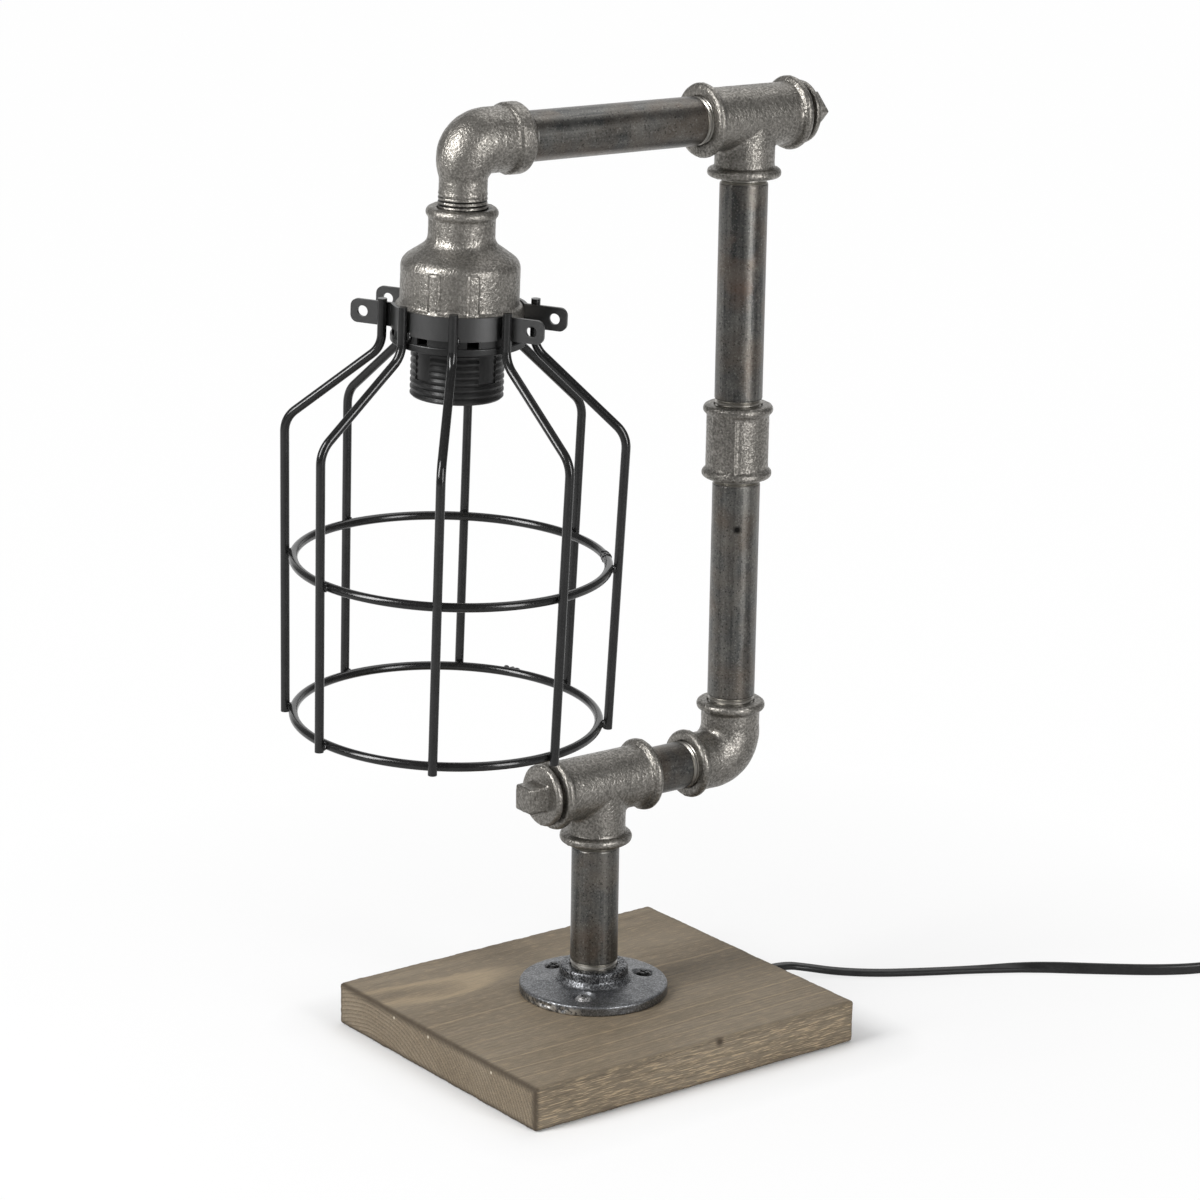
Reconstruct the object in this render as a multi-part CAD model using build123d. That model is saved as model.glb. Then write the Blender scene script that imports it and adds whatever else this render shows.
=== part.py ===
from build123d import *
import math
import os

# Frame: millimetres, +Z up. The origin is on the floor under the riser pipe's axis.
# +X runs from the lamp head to the upright, and the pipes lie in the plane Y = 0.

# Board
board_length = 176.4
board_width = 150.0
board_thickness = 19.6
board_shift_x = -0.65
board_shift_y = -2.75
board_edge = 0.8
wire_hole_d = 14.0
groove_width = 9.0
groove_clear = 0.2
cover_thick = 2.4
cover_width = 36.0
cover_start = -12.0
cover_end_gap = 1.0
cover_gap = 0.2
cover_screw_d = 3.0
cover_screw_head = 5.6
cover_screw_length = 9.5
cover_screw_row = 12.0
cover_screw_inset = 6.0

# Half-inch pipe and its thread
pipe_od = 21.3
pipe_bore = 16.1
thread_od = 20.96
thread_pitch = 1.814
thread_depth = 0.9
thread_land = 0.24
thread_runout = 0.4
thread_grip = 12.5
thread_show = 2.6
thread_gap = 0.08
socket_depth = 13.0

# Malleable iron fittings
fitting_reach = 26.3
fitting_od = 27.2
branch_od = 26.4
elbow_od = 26.4
fitting_bore = 16.0
tee_bead_od = 32.4
elbow_bead_od = 31.0
bead_width = 4.4
bead_round = 2.1
saddle_round = 2.4
elbow_turn = 14.4
elbow_swell = 1.2
coupling_length = 33.4
coupling_od = 27.9
coupling_bead_od = 31.2
rib_width = 4.4
rib_height = 0.9
rib_root = 2.0
coupling_rib_angle = -140.0

# Street elbow above the lamp head
street_reach = 27.5
street_bead_od = 30.2
street_bead_width = 8.6
street_body_od = 27.4
street_limb_od = 20.2
street_turn_top = 14.6
street_turn_side = 12.1
street_swell = 2.3
street_bore = 12.4
street_thread_top = 21.1

# Floor flange
flange_od = 66.6
flange_rim = 4.6
flange_hub_od = 30.8
flange_height = 12.9
flange_slope = 1.6
flange_hub_round = 2.2
flange_edge = 0.6
flange_hub_edge = 0.8
flange_holes = 3
flange_hole_d = 6.0
flange_sink_d = 10.4
flange_hole_circle = 47.4
flange_hole_angle = 102.5

# Pipe plugs
plug_shoulder_od = 27.6
plug_shoulder = 3.1
plug_square = 11.5
plug_square_height = 9.4
plug_gap = 1.7
rear_plug_gap = 2.7
plug_thread_length = 12.7
plug_edge = 0.9

# Where the pipes run, above the board
lower_run = 97.3
upright_x = 75.5
coupling_centre = 243.5
arm_height = 387.3
head_x = -73.1
head_lean = 2.6

# Reducing socket over the lamp holder, measured down from the arm's axis
bell_top = 26.8
bell_top_bead_od = 30.3
bell_neck_od = 28.0
bell_od = 49.9
bell_bead_od = 53.6
bell_bead_width = 8.0
bell_length = 48.0
bell_neck_length = 11.8
bell_shoulder_length = 13.2
bell_shoulder_fall = 35.0
bell_shoulder_pull = 3.5
bell_bore = 41.8
bell_cavity = 20.0
bell_waterway = 18.6
bell_thread_length = 14.0
bell_rib_length = 24.0
bell_rib_angles = (-150.0, -112.0)

# Lamp holder, measured down from the arm's axis
bush_flange_od = 28.0
bush_flange = 2.6
bush_length = 10.0
nipple_od = 10.0
nipple_bore = 7.0
nipple_length = 19.0
nipple_inset = 2.0
nipple_pitch = 1.0
nipple_thread_depth = 0.4
nut_across = 14.0
nut_height = 3.0
cap_od = 40.0
cap_wall = 1.8
cap_round = 5.0
holder_joint = 79.4
skirt_end = 106.6
skirt_od = 39.4
skirt_bore = 33.0
skirt_mouth = 29.4
skirt_pitch = 2.5
skirt_groove = 0.75
skirt_window = 26.0
skirt_windows = 4
skirt_window_height = 14.0
skirt_window_start = 0.6
skirt_lip = 1.6
skirt_edge = 0.7
core_od = 32.4
core_depth = 5.6
core_wall = 4.4
core_recess = 28.0
core_gap = 1.0
lamp_thread_bore = 26.6
shell_wall = 0.4
shell_length = 15.2
shell_rim_inset = 0.6
tongue_width = 6.0
tongue_thick = 0.5
tongue_drop = 3.2
tongue_foot_x = -9.0
tongue_bend_x = -3.5
tongue_peak_x = -0.5
tongue_end_x = 3.5
tongue_dip = 0.4
terminal_d = 4.0
terminal_height = 2.4
terminal_shank_d = 2.0
terminal_shank_length = 4.6
terminal_offset = 9.5
side_contact_width = 5.0
side_contact_thick = 0.6
side_contact_length = 10.0
side_contact_tab = 2.0
side_contact_gap = 0.3

# Shade ring
ring_od = 57.0
ring_thick = 3.2
ring_gap = 0.06
ring_edge = 0.6
ring_collar_rise = 2.0
ring_collar_height = 3.0
ring_collar_od = 55.8
ring_collar_bore = 41.0
ring_slots = 8
ring_slot_width = 5.0

# Cage
wire_d = 3.9
weld_gap = 0.05
band_gap = 0.3
band_thick = 1.5
band_height = 10.0
band_split_angle = -57.0
ear_offset = 13.4
ear_end = 43.0
ear_hole_at = 37.6
ear_hole_d = 4.7
ear_round = 3.2
ear_wire_at = 27.8
wire_count = 8
wire_angle = -129.4
wire_rise = 2.0
wire_bend_depth = 86.0
wire_shoulder_depth = 120.5
cage_clear = 39.2
wire_shoulder_radius = 72.0
wire_end_radius = 69.55
wire_first_bend = 11.0
wire_second_bend = 12.0
low_ring_inset = 2.4
ring_spacing = 69.5

# Lead inside the pipes, and its way out of the board
lead_d = 5.4
joint_gap = 0.3
board_turn = 12.0
tee_turn = 16.0
boot_length = 14.5
boot_root_d = 8.0
boot_tip_d = 6.8
boot_collar_length = 6.0
boot_collar_inset = 2.0
boot_ribs = 3
boot_rib_start = 3.0
boot_rib_pitch = 3.6
boot_rib_cut = 1.2
collar_gap = 0.3
anchor_inset = 27.55
anchor_width = 10.0
anchor_length = 28.0
anchor_thick = 1.4
anchor_screw_spacing = 20.0
anchor_screw_d = 2.8
anchor_head_d = 5.2
anchor_screw_length = 9.0
anchor_clear = 0.3

# Screws through the flange
screw_d = 4.0
screw_head_d = 8.0
screw_head_height = 3.4
screw_length = 13.0
screw_crown = 1.6
screw_sink = 0.6
recess_length = 4.4
recess_width = 0.9
recess_depth = 1.1
slot_width = 0.8
slot_depth = 0.6
fit_gap = 0.05

# Switch on the cord
switch_x = 317.0
switch_y = -114.0
switch_length = 62.0
switch_width = 27.0
switch_height = 17.0
switch_split = 7.0
switch_wall = 1.8
switch_end_wall = 7.8
switch_hollow_corner = 4.0
switch_corner = 9.0
switch_edge = 1.6
rocker_length = 17.0
rocker_width = 10.0
rocker_depth = 7.0
rocker_proud = 1.6
rocker_side_gap = 0.4
rocker_end_gap = 0.9
rocker_pin_d = 2.4
rocker_pin_length = 1.6
rocker_pin_clear = 0.1
rocker_pin_depth = 3.6
rocker_dish_radius = 30.0
rocker_dish_depth = 1.2
rocker_edge = 1.2
rocker_frame_sink = 1.0
case_screw_d = 2.2
case_screw_head_d = 4.2
case_screw_head = 1.4
case_screw_length = 9.0
case_screw_sink = 0.2
case_screw_offset = 20.0
case_post_wall = 1.2
contact_length = 22.0
contact_width = 3.0
contact_height = 3.2
contact_spacing = 9.0

# Coil of the put-away length
coil_x = 428.0
coil_outer = 42.2
coil_pitch = 5.85
coil_half_turns = 7

# Plug on the cord
plug_case_length = 35.0
plug_case_width = 35.2
plug_case_height = 13.7
plug_case_corner = 3.0
plug_waist = 26.0
plug_neck = 18.0
plug_neck_length = 5.0
plug_grip_length = 16.0
plug_edge_round = 2.0
plug_relief_root = 2.0
plug_relief_length = 22.0
plug_relief_tip_d = 7.0
plug_relief_root_d = 10.5
plug_pin_d = 4.0
plug_pin_length = 19.0
plug_pin_sleeve_d = 3.8
plug_pin_sleeve = 10.0
plug_pin_root = 8.0
plug_pin_round = 1.2
plug_pin_spacing = 18.6
tail_length = 30.0

# Places worked out from the sizes above
board_top = board_thickness
run_z = board_top + lower_run
arm_z = board_top + arm_height
coupling_z = board_top + coupling_centre
wire_end_depth = arm_height - lower_run - cage_clear
low_ring_depth = wire_end_depth - low_ring_inset
mid_ring_depth = low_ring_depth - ring_spacing
board_end_x = board_shift_x + board_length / 2
boot_tip_x = board_end_x + boot_length
anchor_x = board_end_x - anchor_inset
anchor_low = cover_thick + anchor_clear
anchor_top = anchor_low + anchor_thick
lead_height = anchor_top + lead_d / 2
groove_top = lead_height + boot_root_d / 2 + groove_clear
bush_od = bell_waterway - 2 * fit_gap
socket_radius = thread_od / 2 + thread_gap
wire_radius = wire_d / 2
band_bore = bell_bead_od / 2 + band_gap
band_outer = band_bore + band_thick
wire_start_radius = band_outer + weld_gap + wire_radius
bell_ceiling = bell_top + bell_length - bell_cavity
cap_top = bell_ceiling + bush_flange
collar_top = holder_joint - ring_collar_rise
ring_top = collar_top + ring_collar_height
band_top = collar_top - band_height
coil_y = switch_y + coil_outer
coil_z = lead_d / 2
tail_y = coil_y + coil_pitch * (coil_half_turns % 2) + lead_d
tail_z = coil_z + coil_pitch


def write(name, *solids):
    """Writes one sub-part, made of one solid or of several separate ones."""
    made = Compound(children=list(solids)) if len(solids) > 1 else solids[0]
    made.label = name
    export_step(made, f"parts/{name}.step")


def tube(points, radii, diameter):
    """A round rod along straight runs that are joined by tangent arcs."""
    path = FilletPolyline(*points, radius=radii) if radii else Polyline(*points)
    start = Plane(origin=path @ 0, z_dir=path % 0)
    return sweep(start * Circle(diameter / 2), path=path).solid()


def ring_solid(profile):
    """A closed outline of (radius, height) points turned about Z."""
    outline = Polyline(*[(radius, 0, height) for radius, height in profile], close=True)
    return revolve(make_face(outline), Axis.Z).solid()


def disc(radius, low, high):
    return Pos(0, 0, (low + high) / 2) * Cylinder(radius, high - low)


def along_x(shape, x, z):
    """Turns a shape made about Z so that its +Z points along +X, and puts it in the pipe plane."""
    return Pos(x, 0, z) * Rot(0, 90, 0) * shape


def bead(diameter, width, low):
    """The rounded band at the mouth of a fitting, from height low upwards."""
    band = disc(diameter / 2, low, low + width)
    return fillet(band.edges().filter_by(GeomType.CIRCLE), bead_round)


def thread_profile(start, end, crest, depth, pitch):
    """Points of V grooves between two heights, going up from start."""
    count = int((end - start) / pitch)
    step = (end - start) / count
    points = []
    for turn in range(count):
        low = start + turn * step
        points.append((crest, low + thread_land / 2 * step))
        points.append((crest - depth, low + step / 2))
        points.append((crest, low + (1 - thread_land / 2) * step))
    return points


def pipe(length):
    """A pipe from height 0 to length, threaded at both ends."""
    crest = thread_od / 2
    zone = thread_grip + thread_show
    profile = [(pipe_bore / 2, 0), (crest, 0)]
    profile += thread_profile(0, zone, crest, thread_depth, thread_pitch)
    profile += [(crest, zone), (pipe_od / 2, zone + thread_runout)]
    profile += [(pipe_od / 2, length - zone - thread_runout), (crest, length - zone)]
    profile += thread_profile(length - zone, length, crest, thread_depth, thread_pitch)
    profile += [(crest, length), (pipe_bore / 2, length)]
    return ring_solid(profile)


def socket_cut(face):
    """The threaded mouth of a fitting, cut down from height face."""
    return disc(socket_radius, face - socket_depth, face + 1)


def tee():
    """Run along X, branch down, centre at the origin."""
    run = along_x(Cylinder(fitting_od / 2, 2 * fitting_reach), 0, 0)
    branch = disc(branch_od / 2, -fitting_reach, 0)
    body = run + branch
    seam = [edge for edge in body.edges() if edge.geom_type not in (GeomType.CIRCLE, GeomType.LINE)]
    body = fillet(seam, saddle_round)
    mouth = bead(tee_bead_od, bead_width, fitting_reach - bead_width)
    for turn in ((0, 90, 0), (0, -90, 0), (180, 0, 0)):
        body += Rot(*turn) * mouth
    for turn in ((0, 90, 0), (0, -90, 0), (180, 0, 0)):
        body -= Rot(*turn) * (socket_cut(fitting_reach) + disc(fitting_bore / 2, 0, fitting_reach))
    return body.solid()


def bend(side, top, side_radius, top_radius, swell, steps=4):
    """A quarter bend from a limb along +X, at X = side, to a limb down, at Z = -top. It swells midway."""
    sections = []
    for step in range(steps + 1):
        share = step / steps
        angle = math.radians(90 * share)
        extra = swell * math.sin(2 * angle) / 2
        reach = top + (side - top) * share + extra
        radius = top_radius + (side_radius - top_radius) * share + extra
        centre = (side - reach * math.sin(angle), 0, -top + reach * math.cos(angle))
        plane = Plane(origin=centre, x_dir=(0, 1, 0), z_dir=(-math.cos(angle), 0, -math.sin(angle)))
        sections.append(plane * Circle(radius))
    return loft(sections).solid()


def elbow():
    """One limb along +X and one down, centre at the origin."""
    radius = elbow_od / 2
    body = bend(elbow_turn, elbow_turn, radius, radius, elbow_swell)
    for turn in ((0, 90, 0), (180, 0, 0)):
        body += Rot(*turn) * disc(radius, elbow_turn, fitting_reach)
        body += Rot(*turn) * bead(elbow_bead_od, bead_width, fitting_reach - bead_width)
    body -= bend(elbow_turn, elbow_turn, fitting_bore / 2, fitting_bore / 2, 0)
    for turn in ((0, 90, 0), (180, 0, 0)):
        body -= Rot(*turn) * (socket_cut(fitting_reach) + disc(fitting_bore / 2, elbow_turn, fitting_reach))
    return body.solid()


def street_elbow():
    """Female limb along +X on the arm, male limb down into the reducing socket."""
    crest = thread_od / 2
    male_end = bell_top + thread_grip
    body = bend(street_turn_side, street_turn_top, street_limb_od / 2, street_body_od / 2, street_swell)
    body += along_x(disc(street_body_od / 2, street_turn_side, street_reach), 0, 0)
    body += along_x(bead(street_bead_od, street_bead_width, street_reach - street_bead_width), 0, 0)
    body += disc(street_limb_od / 2, -street_thread_top, -street_turn_top)
    profile = [(0, -male_end), (crest, -male_end)]
    profile += thread_profile(-male_end, -street_thread_top, crest, thread_depth, thread_pitch)
    profile += [(crest, -street_thread_top), (0, -street_thread_top)]
    body += ring_solid(profile)
    body -= bend(street_turn_side, street_turn_top, street_bore / 2, street_bore / 2, 0)
    body -= along_x(disc(street_bore / 2, street_turn_side, street_reach) + socket_cut(street_reach), 0, 0)
    body -= disc(street_bore / 2, -male_end - 1, -street_turn_top)
    return body.solid()


def cast_rib(angle, radius, low, high):
    """A rib that stands out of a round wall and is rooted in it."""
    middle = Pos(radius + (rib_height - rib_root) / 2, 0, (low + high) / 2)
    return Rot(0, 0, angle) * middle * Box(rib_height + rib_root, rib_width, high - low)


def coupling():
    """The ribbed socket in the upright, centred at the origin."""
    half = coupling_length / 2
    body = disc(coupling_od / 2, -half, half)
    for angle in (coupling_rib_angle, coupling_rib_angle + 180):
        body += cast_rib(angle, coupling_od / 2, bead_width / 2 - half, half - bead_width / 2)
    for low in (-half, half - bead_width):
        body += bead(coupling_bead_od, bead_width, low)
    body -= disc(fitting_bore / 2, -half, half)
    body -= socket_cut(half)
    body -= Rot(180, 0, 0) * socket_cut(half)
    return body.solid()


def flange():
    """The floor flange, seated on the height 0."""
    rim = flange_od / 2
    hub = flange_hub_od / 2
    outline = [(0, 0), (rim, 0), (rim, flange_rim - flange_edge), (rim - flange_edge, flange_rim)]
    outline += [(hub + flange_hub_round, flange_rim + flange_slope)]
    outline += [(hub, flange_rim + flange_slope + flange_hub_round)]
    outline += [(hub, flange_height - flange_hub_edge), (hub - flange_hub_edge, flange_height)]
    outline += [(0, flange_height)]
    body = ring_solid(outline)
    body -= disc(socket_radius, 0, flange_height)
    for place in flange_hole_places():
        body -= Pos(*place, 0) * disc(flange_hole_d / 2, -1, flange_height)
        body -= Pos(*place, flange_seat()) * sink_cut()
    return body.solid()


def flange_hole_places():
    angles = [math.radians(flange_hole_angle + k * 360 / flange_holes) for k in range(flange_holes)]
    return [(flange_hole_circle / 2 * math.cos(a), flange_hole_circle / 2 * math.sin(a)) for a in angles]


def flange_seat():
    """Height above the board of the countersink's narrow end."""
    return flange_rim + flange_slope - (flange_sink_d - flange_hole_d) / 2 - screw_sink


def flange_screw_seat():
    """Height of the narrow end of the screw's head, where it just meets the countersink."""
    return board_top + flange_seat() - (flange_hole_d - screw_d) / 2 + 2 * fit_gap


def sink_cut():
    depth = (flange_sink_d - flange_hole_d) / 2
    cone = Pos(0, 0, depth / 2) * Cone(flange_hole_d / 2, flange_sink_d / 2, depth)
    return cone + disc(flange_sink_d / 2, depth, depth + flange_height)


def flange_screw():
    """A cross-recessed wood screw, with the narrow end of its head at height 0."""
    head_rise = (screw_head_d - screw_d) / 2
    rim = screw_head_d / 2
    profile = [(0, -screw_length), (screw_d / 4, -screw_length), (screw_d / 2, screw_d - screw_length)]
    profile += [(screw_d / 2, 0), (rim, head_rise), (rim - screw_crown, screw_head_height)]
    profile += [(0, screw_head_height)]
    body = ring_solid(profile)
    for turn in (0, 90):
        slot = Box(recess_length, recess_width, 2 * recess_depth)
        body -= Pos(0, 0, screw_head_height) * Rot(0, 0, turn) * slot
    return body.solid()


def plug(gap):
    """A square-headed pipe plug for a fitting whose face is at height 0, with a gap under its shoulder."""
    crest = thread_od / 2
    rim = plug_shoulder_od / 2
    high = gap + plug_shoulder
    profile = [(0, gap - plug_thread_length), (crest, gap - plug_thread_length)]
    profile += thread_profile(gap - plug_thread_length, gap, crest, thread_depth, thread_pitch)
    profile += [(crest, gap), (rim, gap), (rim, high - plug_edge), (rim - plug_edge, high), (0, high)]
    square = Pos(0, 0, high + plug_square_height / 2) * Box(plug_square, plug_square, plug_square_height)
    square = chamfer(square.faces().sort_by(Axis.Z)[-1].edges(), plug_edge)
    return (ring_solid(profile) + square).solid()


def slab(low_x, high_x, width, low_z, high_z):
    """A box centred on Y = 0."""
    middle = Pos((low_x + high_x) / 2, 0, (low_z + high_z) / 2)
    return middle * Box(high_x - low_x, width, high_z - low_z)


def board():
    """The wooden board, with the hole under the riser and the groove that takes the lead to its end."""
    centre = Pos(board_shift_x, board_shift_y, board_thickness / 2)
    body = centre * Box(board_length, board_width, board_thickness)
    body = chamfer(body.edges(), board_edge)
    body -= disc(wire_hole_d / 2, 0, board_thickness + 1)
    body -= slab(-wire_hole_d / 2, board_end_x + 1, groove_width, -1, groove_top)
    body -= slab(cover_start - cover_gap, board_end_x + 1, cover_width + 2 * cover_gap, -1, cover_thick)
    half = anchor_width / 2 + collar_gap
    body -= slab(anchor_x - half, anchor_x + half, anchor_length + 2 * collar_gap, 0, anchor_top)
    for place in flange_hole_places():
        body -= Pos(*place, flange_screw_seat()) * disc(screw_d / 2 + fit_gap, -screw_length, screw_length)
    for x, y in anchor_screw_places():
        body -= Pos(x, y, 0) * disc(anchor_screw_d / 2 + fit_gap, 0, anchor_low + anchor_screw_length)
    for x, y in cover_screw_places():
        body -= Pos(x, y, 0) * disc(cover_screw_d / 2 + fit_gap, 0, cover_screw_length)
    return body.solid()


def anchor_screw_places():
    return [(anchor_x, side * anchor_screw_spacing / 2) for side in (-1, 1)]


def cover_screw_places():
    ends = (cover_start + cover_screw_inset, board_end_x - cover_end_gap - cover_screw_inset)
    return [(x, side * cover_screw_row) for x in ends for side in (-1, 1)]


def sunk_plate(plate, places, low, shank, head):
    """Drills and countersinks a plate from below."""
    rise = (head - shank) / 2
    for x, y in places:
        plate -= Pos(x, y, 0) * disc(shank / 2 + fit_gap, low - 1, low + anchor_thick + cover_thick)
        plate -= Pos(x, y, low + rise / 2) * Cone(head / 2 + fit_gap, shank / 2 + fit_gap, rise)
    return plate.solid()


def sunk_screw(low, shank, head, length):
    """A slotted countersunk screw driven upwards, with its head's face at height low."""
    rise = (head - shank) / 2
    profile = [(0, low), (head / 2, low), (shank / 2, low + rise), (shank / 2, low + length - shank / 2)]
    profile += [(0, low + length)]
    return (ring_solid(profile) - Pos(0, 0, low) * Box(head + 1, slot_width, 2 * slot_depth)).solid()


def cord_anchor():
    """The strap across the groove that holds the lead."""
    half = anchor_width / 2
    plate = slab(anchor_x - half, anchor_x + half, anchor_length, anchor_low, anchor_top)
    return sunk_plate(plate, anchor_screw_places(), anchor_low, anchor_screw_d, anchor_head_d)


def anchor_screws():
    screw = sunk_screw(anchor_low, anchor_screw_d, anchor_head_d, anchor_screw_length)
    return [Pos(x, y, 0) * screw for x, y in anchor_screw_places()]


def groove_cover():
    """The strip that closes the groove, flush with the underside of the board."""
    plate = slab(cover_start, board_end_x - cover_end_gap, cover_width, 0, cover_thick)
    return sunk_plate(plate, cover_screw_places(), 0, cover_screw_d, cover_screw_head)


def cover_screws():
    screw = sunk_screw(0, cover_screw_d, cover_screw_head, cover_screw_length)
    return [Pos(x, y, 0) * screw for x, y in cover_screw_places()]


def cord_boot():
    """The moulded strain relief that leaves the end of the board."""
    high_x = board_end_x - boot_collar_inset
    low_x = high_x - boot_collar_length
    body = slab(low_x, high_x, groove_width - 2 * collar_gap, cover_thick + collar_gap, groove_top)
    profile = [(0, high_x), (boot_root_d / 2, high_x), (boot_root_d / 2, board_end_x + boot_rib_start)]
    profile += [(boot_tip_d / 2, boot_tip_x), (0, boot_tip_x)]
    cone = ring_solid(profile)
    for rib in range(boot_ribs):
        low = board_end_x + boot_rib_start + rib * boot_rib_pitch
        high = low + boot_rib_cut
        cone -= disc(boot_root_d, low, high) - disc(boot_tip_d / 2 - fit_gap, low, high)
    body += along_x(cone, 0, lead_height)
    body -= along_x(disc(lead_d / 2 + fit_gap, low_x - 1, boot_tip_x + 1), 0, lead_height)
    return body.solid()


def stand_lead():
    """The lead from the strain relief through the board, riser and upright to the arm's swivel."""
    points = [(boot_tip_x, 0, lead_height), (0, 0, lead_height), (0, 0, run_z), (upright_x, 0, run_z)]
    points += [(upright_x, 0, arm_z - fitting_reach - joint_gap)]
    return tube(points, [board_turn, tee_turn, elbow_turn], lead_d)


def arm_lead():
    """The lead from the swivel through the upper tee and the arm to the street elbow."""
    points = [(upright_x, 0, arm_z - fitting_reach), (upright_x, 0, arm_z)]
    points += [(head_x + street_reach + joint_gap, 0, arm_z)]
    return tube(points, [tee_turn], lead_d)


def head_lead():
    """The lead from the street elbow down to the lamp holder, about the head's own origin."""
    end = core_top() - terminal_height
    return tube([(street_reach, 0, 0), (0, 0, 0), (0, 0, -end)], [street_turn_side], lead_d)


def reducing_socket():
    """The bell over the lamp holder, hung from the street elbow."""
    low = -(bell_top + bell_length)
    neck_low = -(bell_top + bell_neck_length)
    shoulder_low = neck_low - bell_shoulder_length
    neck = bell_neck_od / 2
    wall = bell_od / 2
    middle_x = (neck + wall) / 2
    middle_z = (neck_low + shoulder_low) / 2
    pull_x = bell_shoulder_pull * math.cos(math.radians(bell_shoulder_fall))
    pull_z = bell_shoulder_pull * math.sin(math.radians(bell_shoulder_fall))
    above = (middle_x - pull_x, middle_z + pull_z)
    middle = (middle_x, middle_z)
    below = (middle_x + pull_x, middle_z - pull_z)
    top = -bell_top
    upper = Line((0, top), (neck, top)) + Line((neck, top), (neck, neck_low))
    shoulder = Bezier((neck, neck_low), (neck, neck_low - bell_shoulder_pull), above, middle)
    shoulder += Bezier(middle, below, (wall, shoulder_low + bell_shoulder_pull), (wall, shoulder_low))
    lower = Polyline((wall, shoulder_low), (wall, low), (0, low), (0, top))
    outline = Plane.XZ * make_face(upper + shoulder + lower)
    body = revolve(outline, Axis.Z).solid()
    body += bead(bell_top_bead_od, bead_width, top - bead_width)
    body += bead(bell_bead_od, bell_bead_width, low)
    for angle in bell_rib_angles:
        body += cast_rib(angle, wall, low + bell_bead_width / 2, low + bell_rib_length)
    body -= disc(socket_radius, top - bell_thread_length, top + 1)
    body -= disc(bell_waterway / 2, low, top)
    body -= disc(bell_bore / 2, low - 1, low + bell_cavity)
    return body.solid()


def entry_bush():
    """The bush that closes the bell's waterway and takes the hollow nipple."""
    ceiling = -bell_ceiling
    body = disc(bush_od / 2, ceiling, ceiling + bush_length)
    body += disc(bush_flange_od / 2, ceiling - bush_flange, ceiling)
    body -= disc(nipple_od / 2 + fit_gap, ceiling - bush_flange - 1, ceiling + bush_length + 1)
    return body.solid()


def entry_nipple():
    """The hollow threaded tube that hangs the lamp holder from the bush."""
    top = -bell_ceiling + bush_length - nipple_inset
    profile = [(nipple_bore / 2, top - nipple_length), (nipple_od / 2, top - nipple_length)]
    profile += thread_profile(top - nipple_length, top, nipple_od / 2, nipple_thread_depth, nipple_pitch)
    profile += [(nipple_od / 2, top), (nipple_bore / 2, top)]
    return ring_solid(profile)


def nipple_nut():
    """The nut that clamps the holder's cap on the nipple, inside the cap."""
    top = -(cap_top + cap_wall)
    hexagon = RegularPolygon(nut_across / 2, 6, major_radius=False)
    body = extrude(Pos(0, 0, top - nut_height) * hexagon, nut_height)
    body -= disc(nipple_od / 2 + fit_gap, top - nut_height - 1, top + 1)
    return body.solid()


def holder_cap():
    """The dome of the lamp holder, inside the bell."""
    radius = cap_od / 2
    body = disc(radius, -holder_joint, -cap_top)
    body = fillet(body.faces().sort_by(Axis.Z)[-1].edges(), cap_round)
    hollow = disc(radius - cap_wall, -holder_joint - 1, -cap_top - cap_wall)
    hollow = fillet(hollow.faces().sort_by(Axis.Z)[-1].edges(), cap_round - cap_wall)
    body -= hollow
    body -= disc(nipple_od / 2 + fit_gap, -cap_top - 2 * cap_wall, 0)
    return body.solid()


def holder_skirt():
    """The threaded skirt of the lamp holder, with smooth windows in its thread."""
    crest = skirt_od / 2
    thread_low = -skirt_end + skirt_edge
    thread_high = -ring_top - ring_thick
    profile = [(skirt_bore / 2, -holder_joint), (skirt_bore / 2, -skirt_end + skirt_lip)]
    profile += [(skirt_mouth / 2, -skirt_end + skirt_lip), (skirt_mouth / 2, -skirt_end)]
    profile += [(crest - skirt_edge, -skirt_end), (crest, thread_low)]
    profile += thread_profile(thread_low, thread_high, crest, skirt_groove, skirt_pitch)
    profile += [(crest, thread_high), (crest, -holder_joint)]
    body = ring_solid(profile)
    high = thread_high - skirt_window_start
    low = high - skirt_window_height
    crests = disc(crest + 1, low, high) - disc(crest - skirt_groove, low, high)
    reach = skirt_od
    half_width = reach * math.tan(math.radians(skirt_window / 2))
    wedge = make_face(Polyline((0, 0), (reach, half_width), (reach, -half_width), close=True))
    for window in range(skirt_windows):
        angle = wire_angle + (window + 0.5) * 360 / skirt_windows
        body -= crests & extrude(Pos(0, 0, low) * Rot(0, 0, angle) * wedge, high - low)
    return body.solid()


def core_top():
    """Depth of the insulating core's upper face."""
    return holder_joint + core_gap


def shell_top():
    """Depth of the screw shell's upper end, on the core's wall."""
    return core_top() + core_depth + core_wall


def holder_core():
    """The insulating core that carries the contacts, with a wall round the tongue's recess."""
    top = -core_top()
    low = -shell_top()
    body = disc(core_od / 2, low, top) - disc(core_recess / 2, low, top - core_depth)
    hole = disc(terminal_shank_d / 2 + fit_gap, top - core_depth, top)
    for side in (-1, 1):
        body -= Pos(side * terminal_offset, 0, 0) * hole
    return body.solid()


def terminal_screws():
    top = -core_top()
    solids = []
    for side in (-1, 1):
        head = disc(terminal_d / 2, top, top + terminal_height)
        head -= Pos(0, 0, top + terminal_height) * Box(terminal_d + 1, slot_width, 2 * slot_depth)
        shank = disc(terminal_shank_d / 2, top - terminal_shank_length, top)
        solids.append((Pos(side * terminal_offset, 0, 0) * (head + shank)).solid())
    return solids


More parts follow.
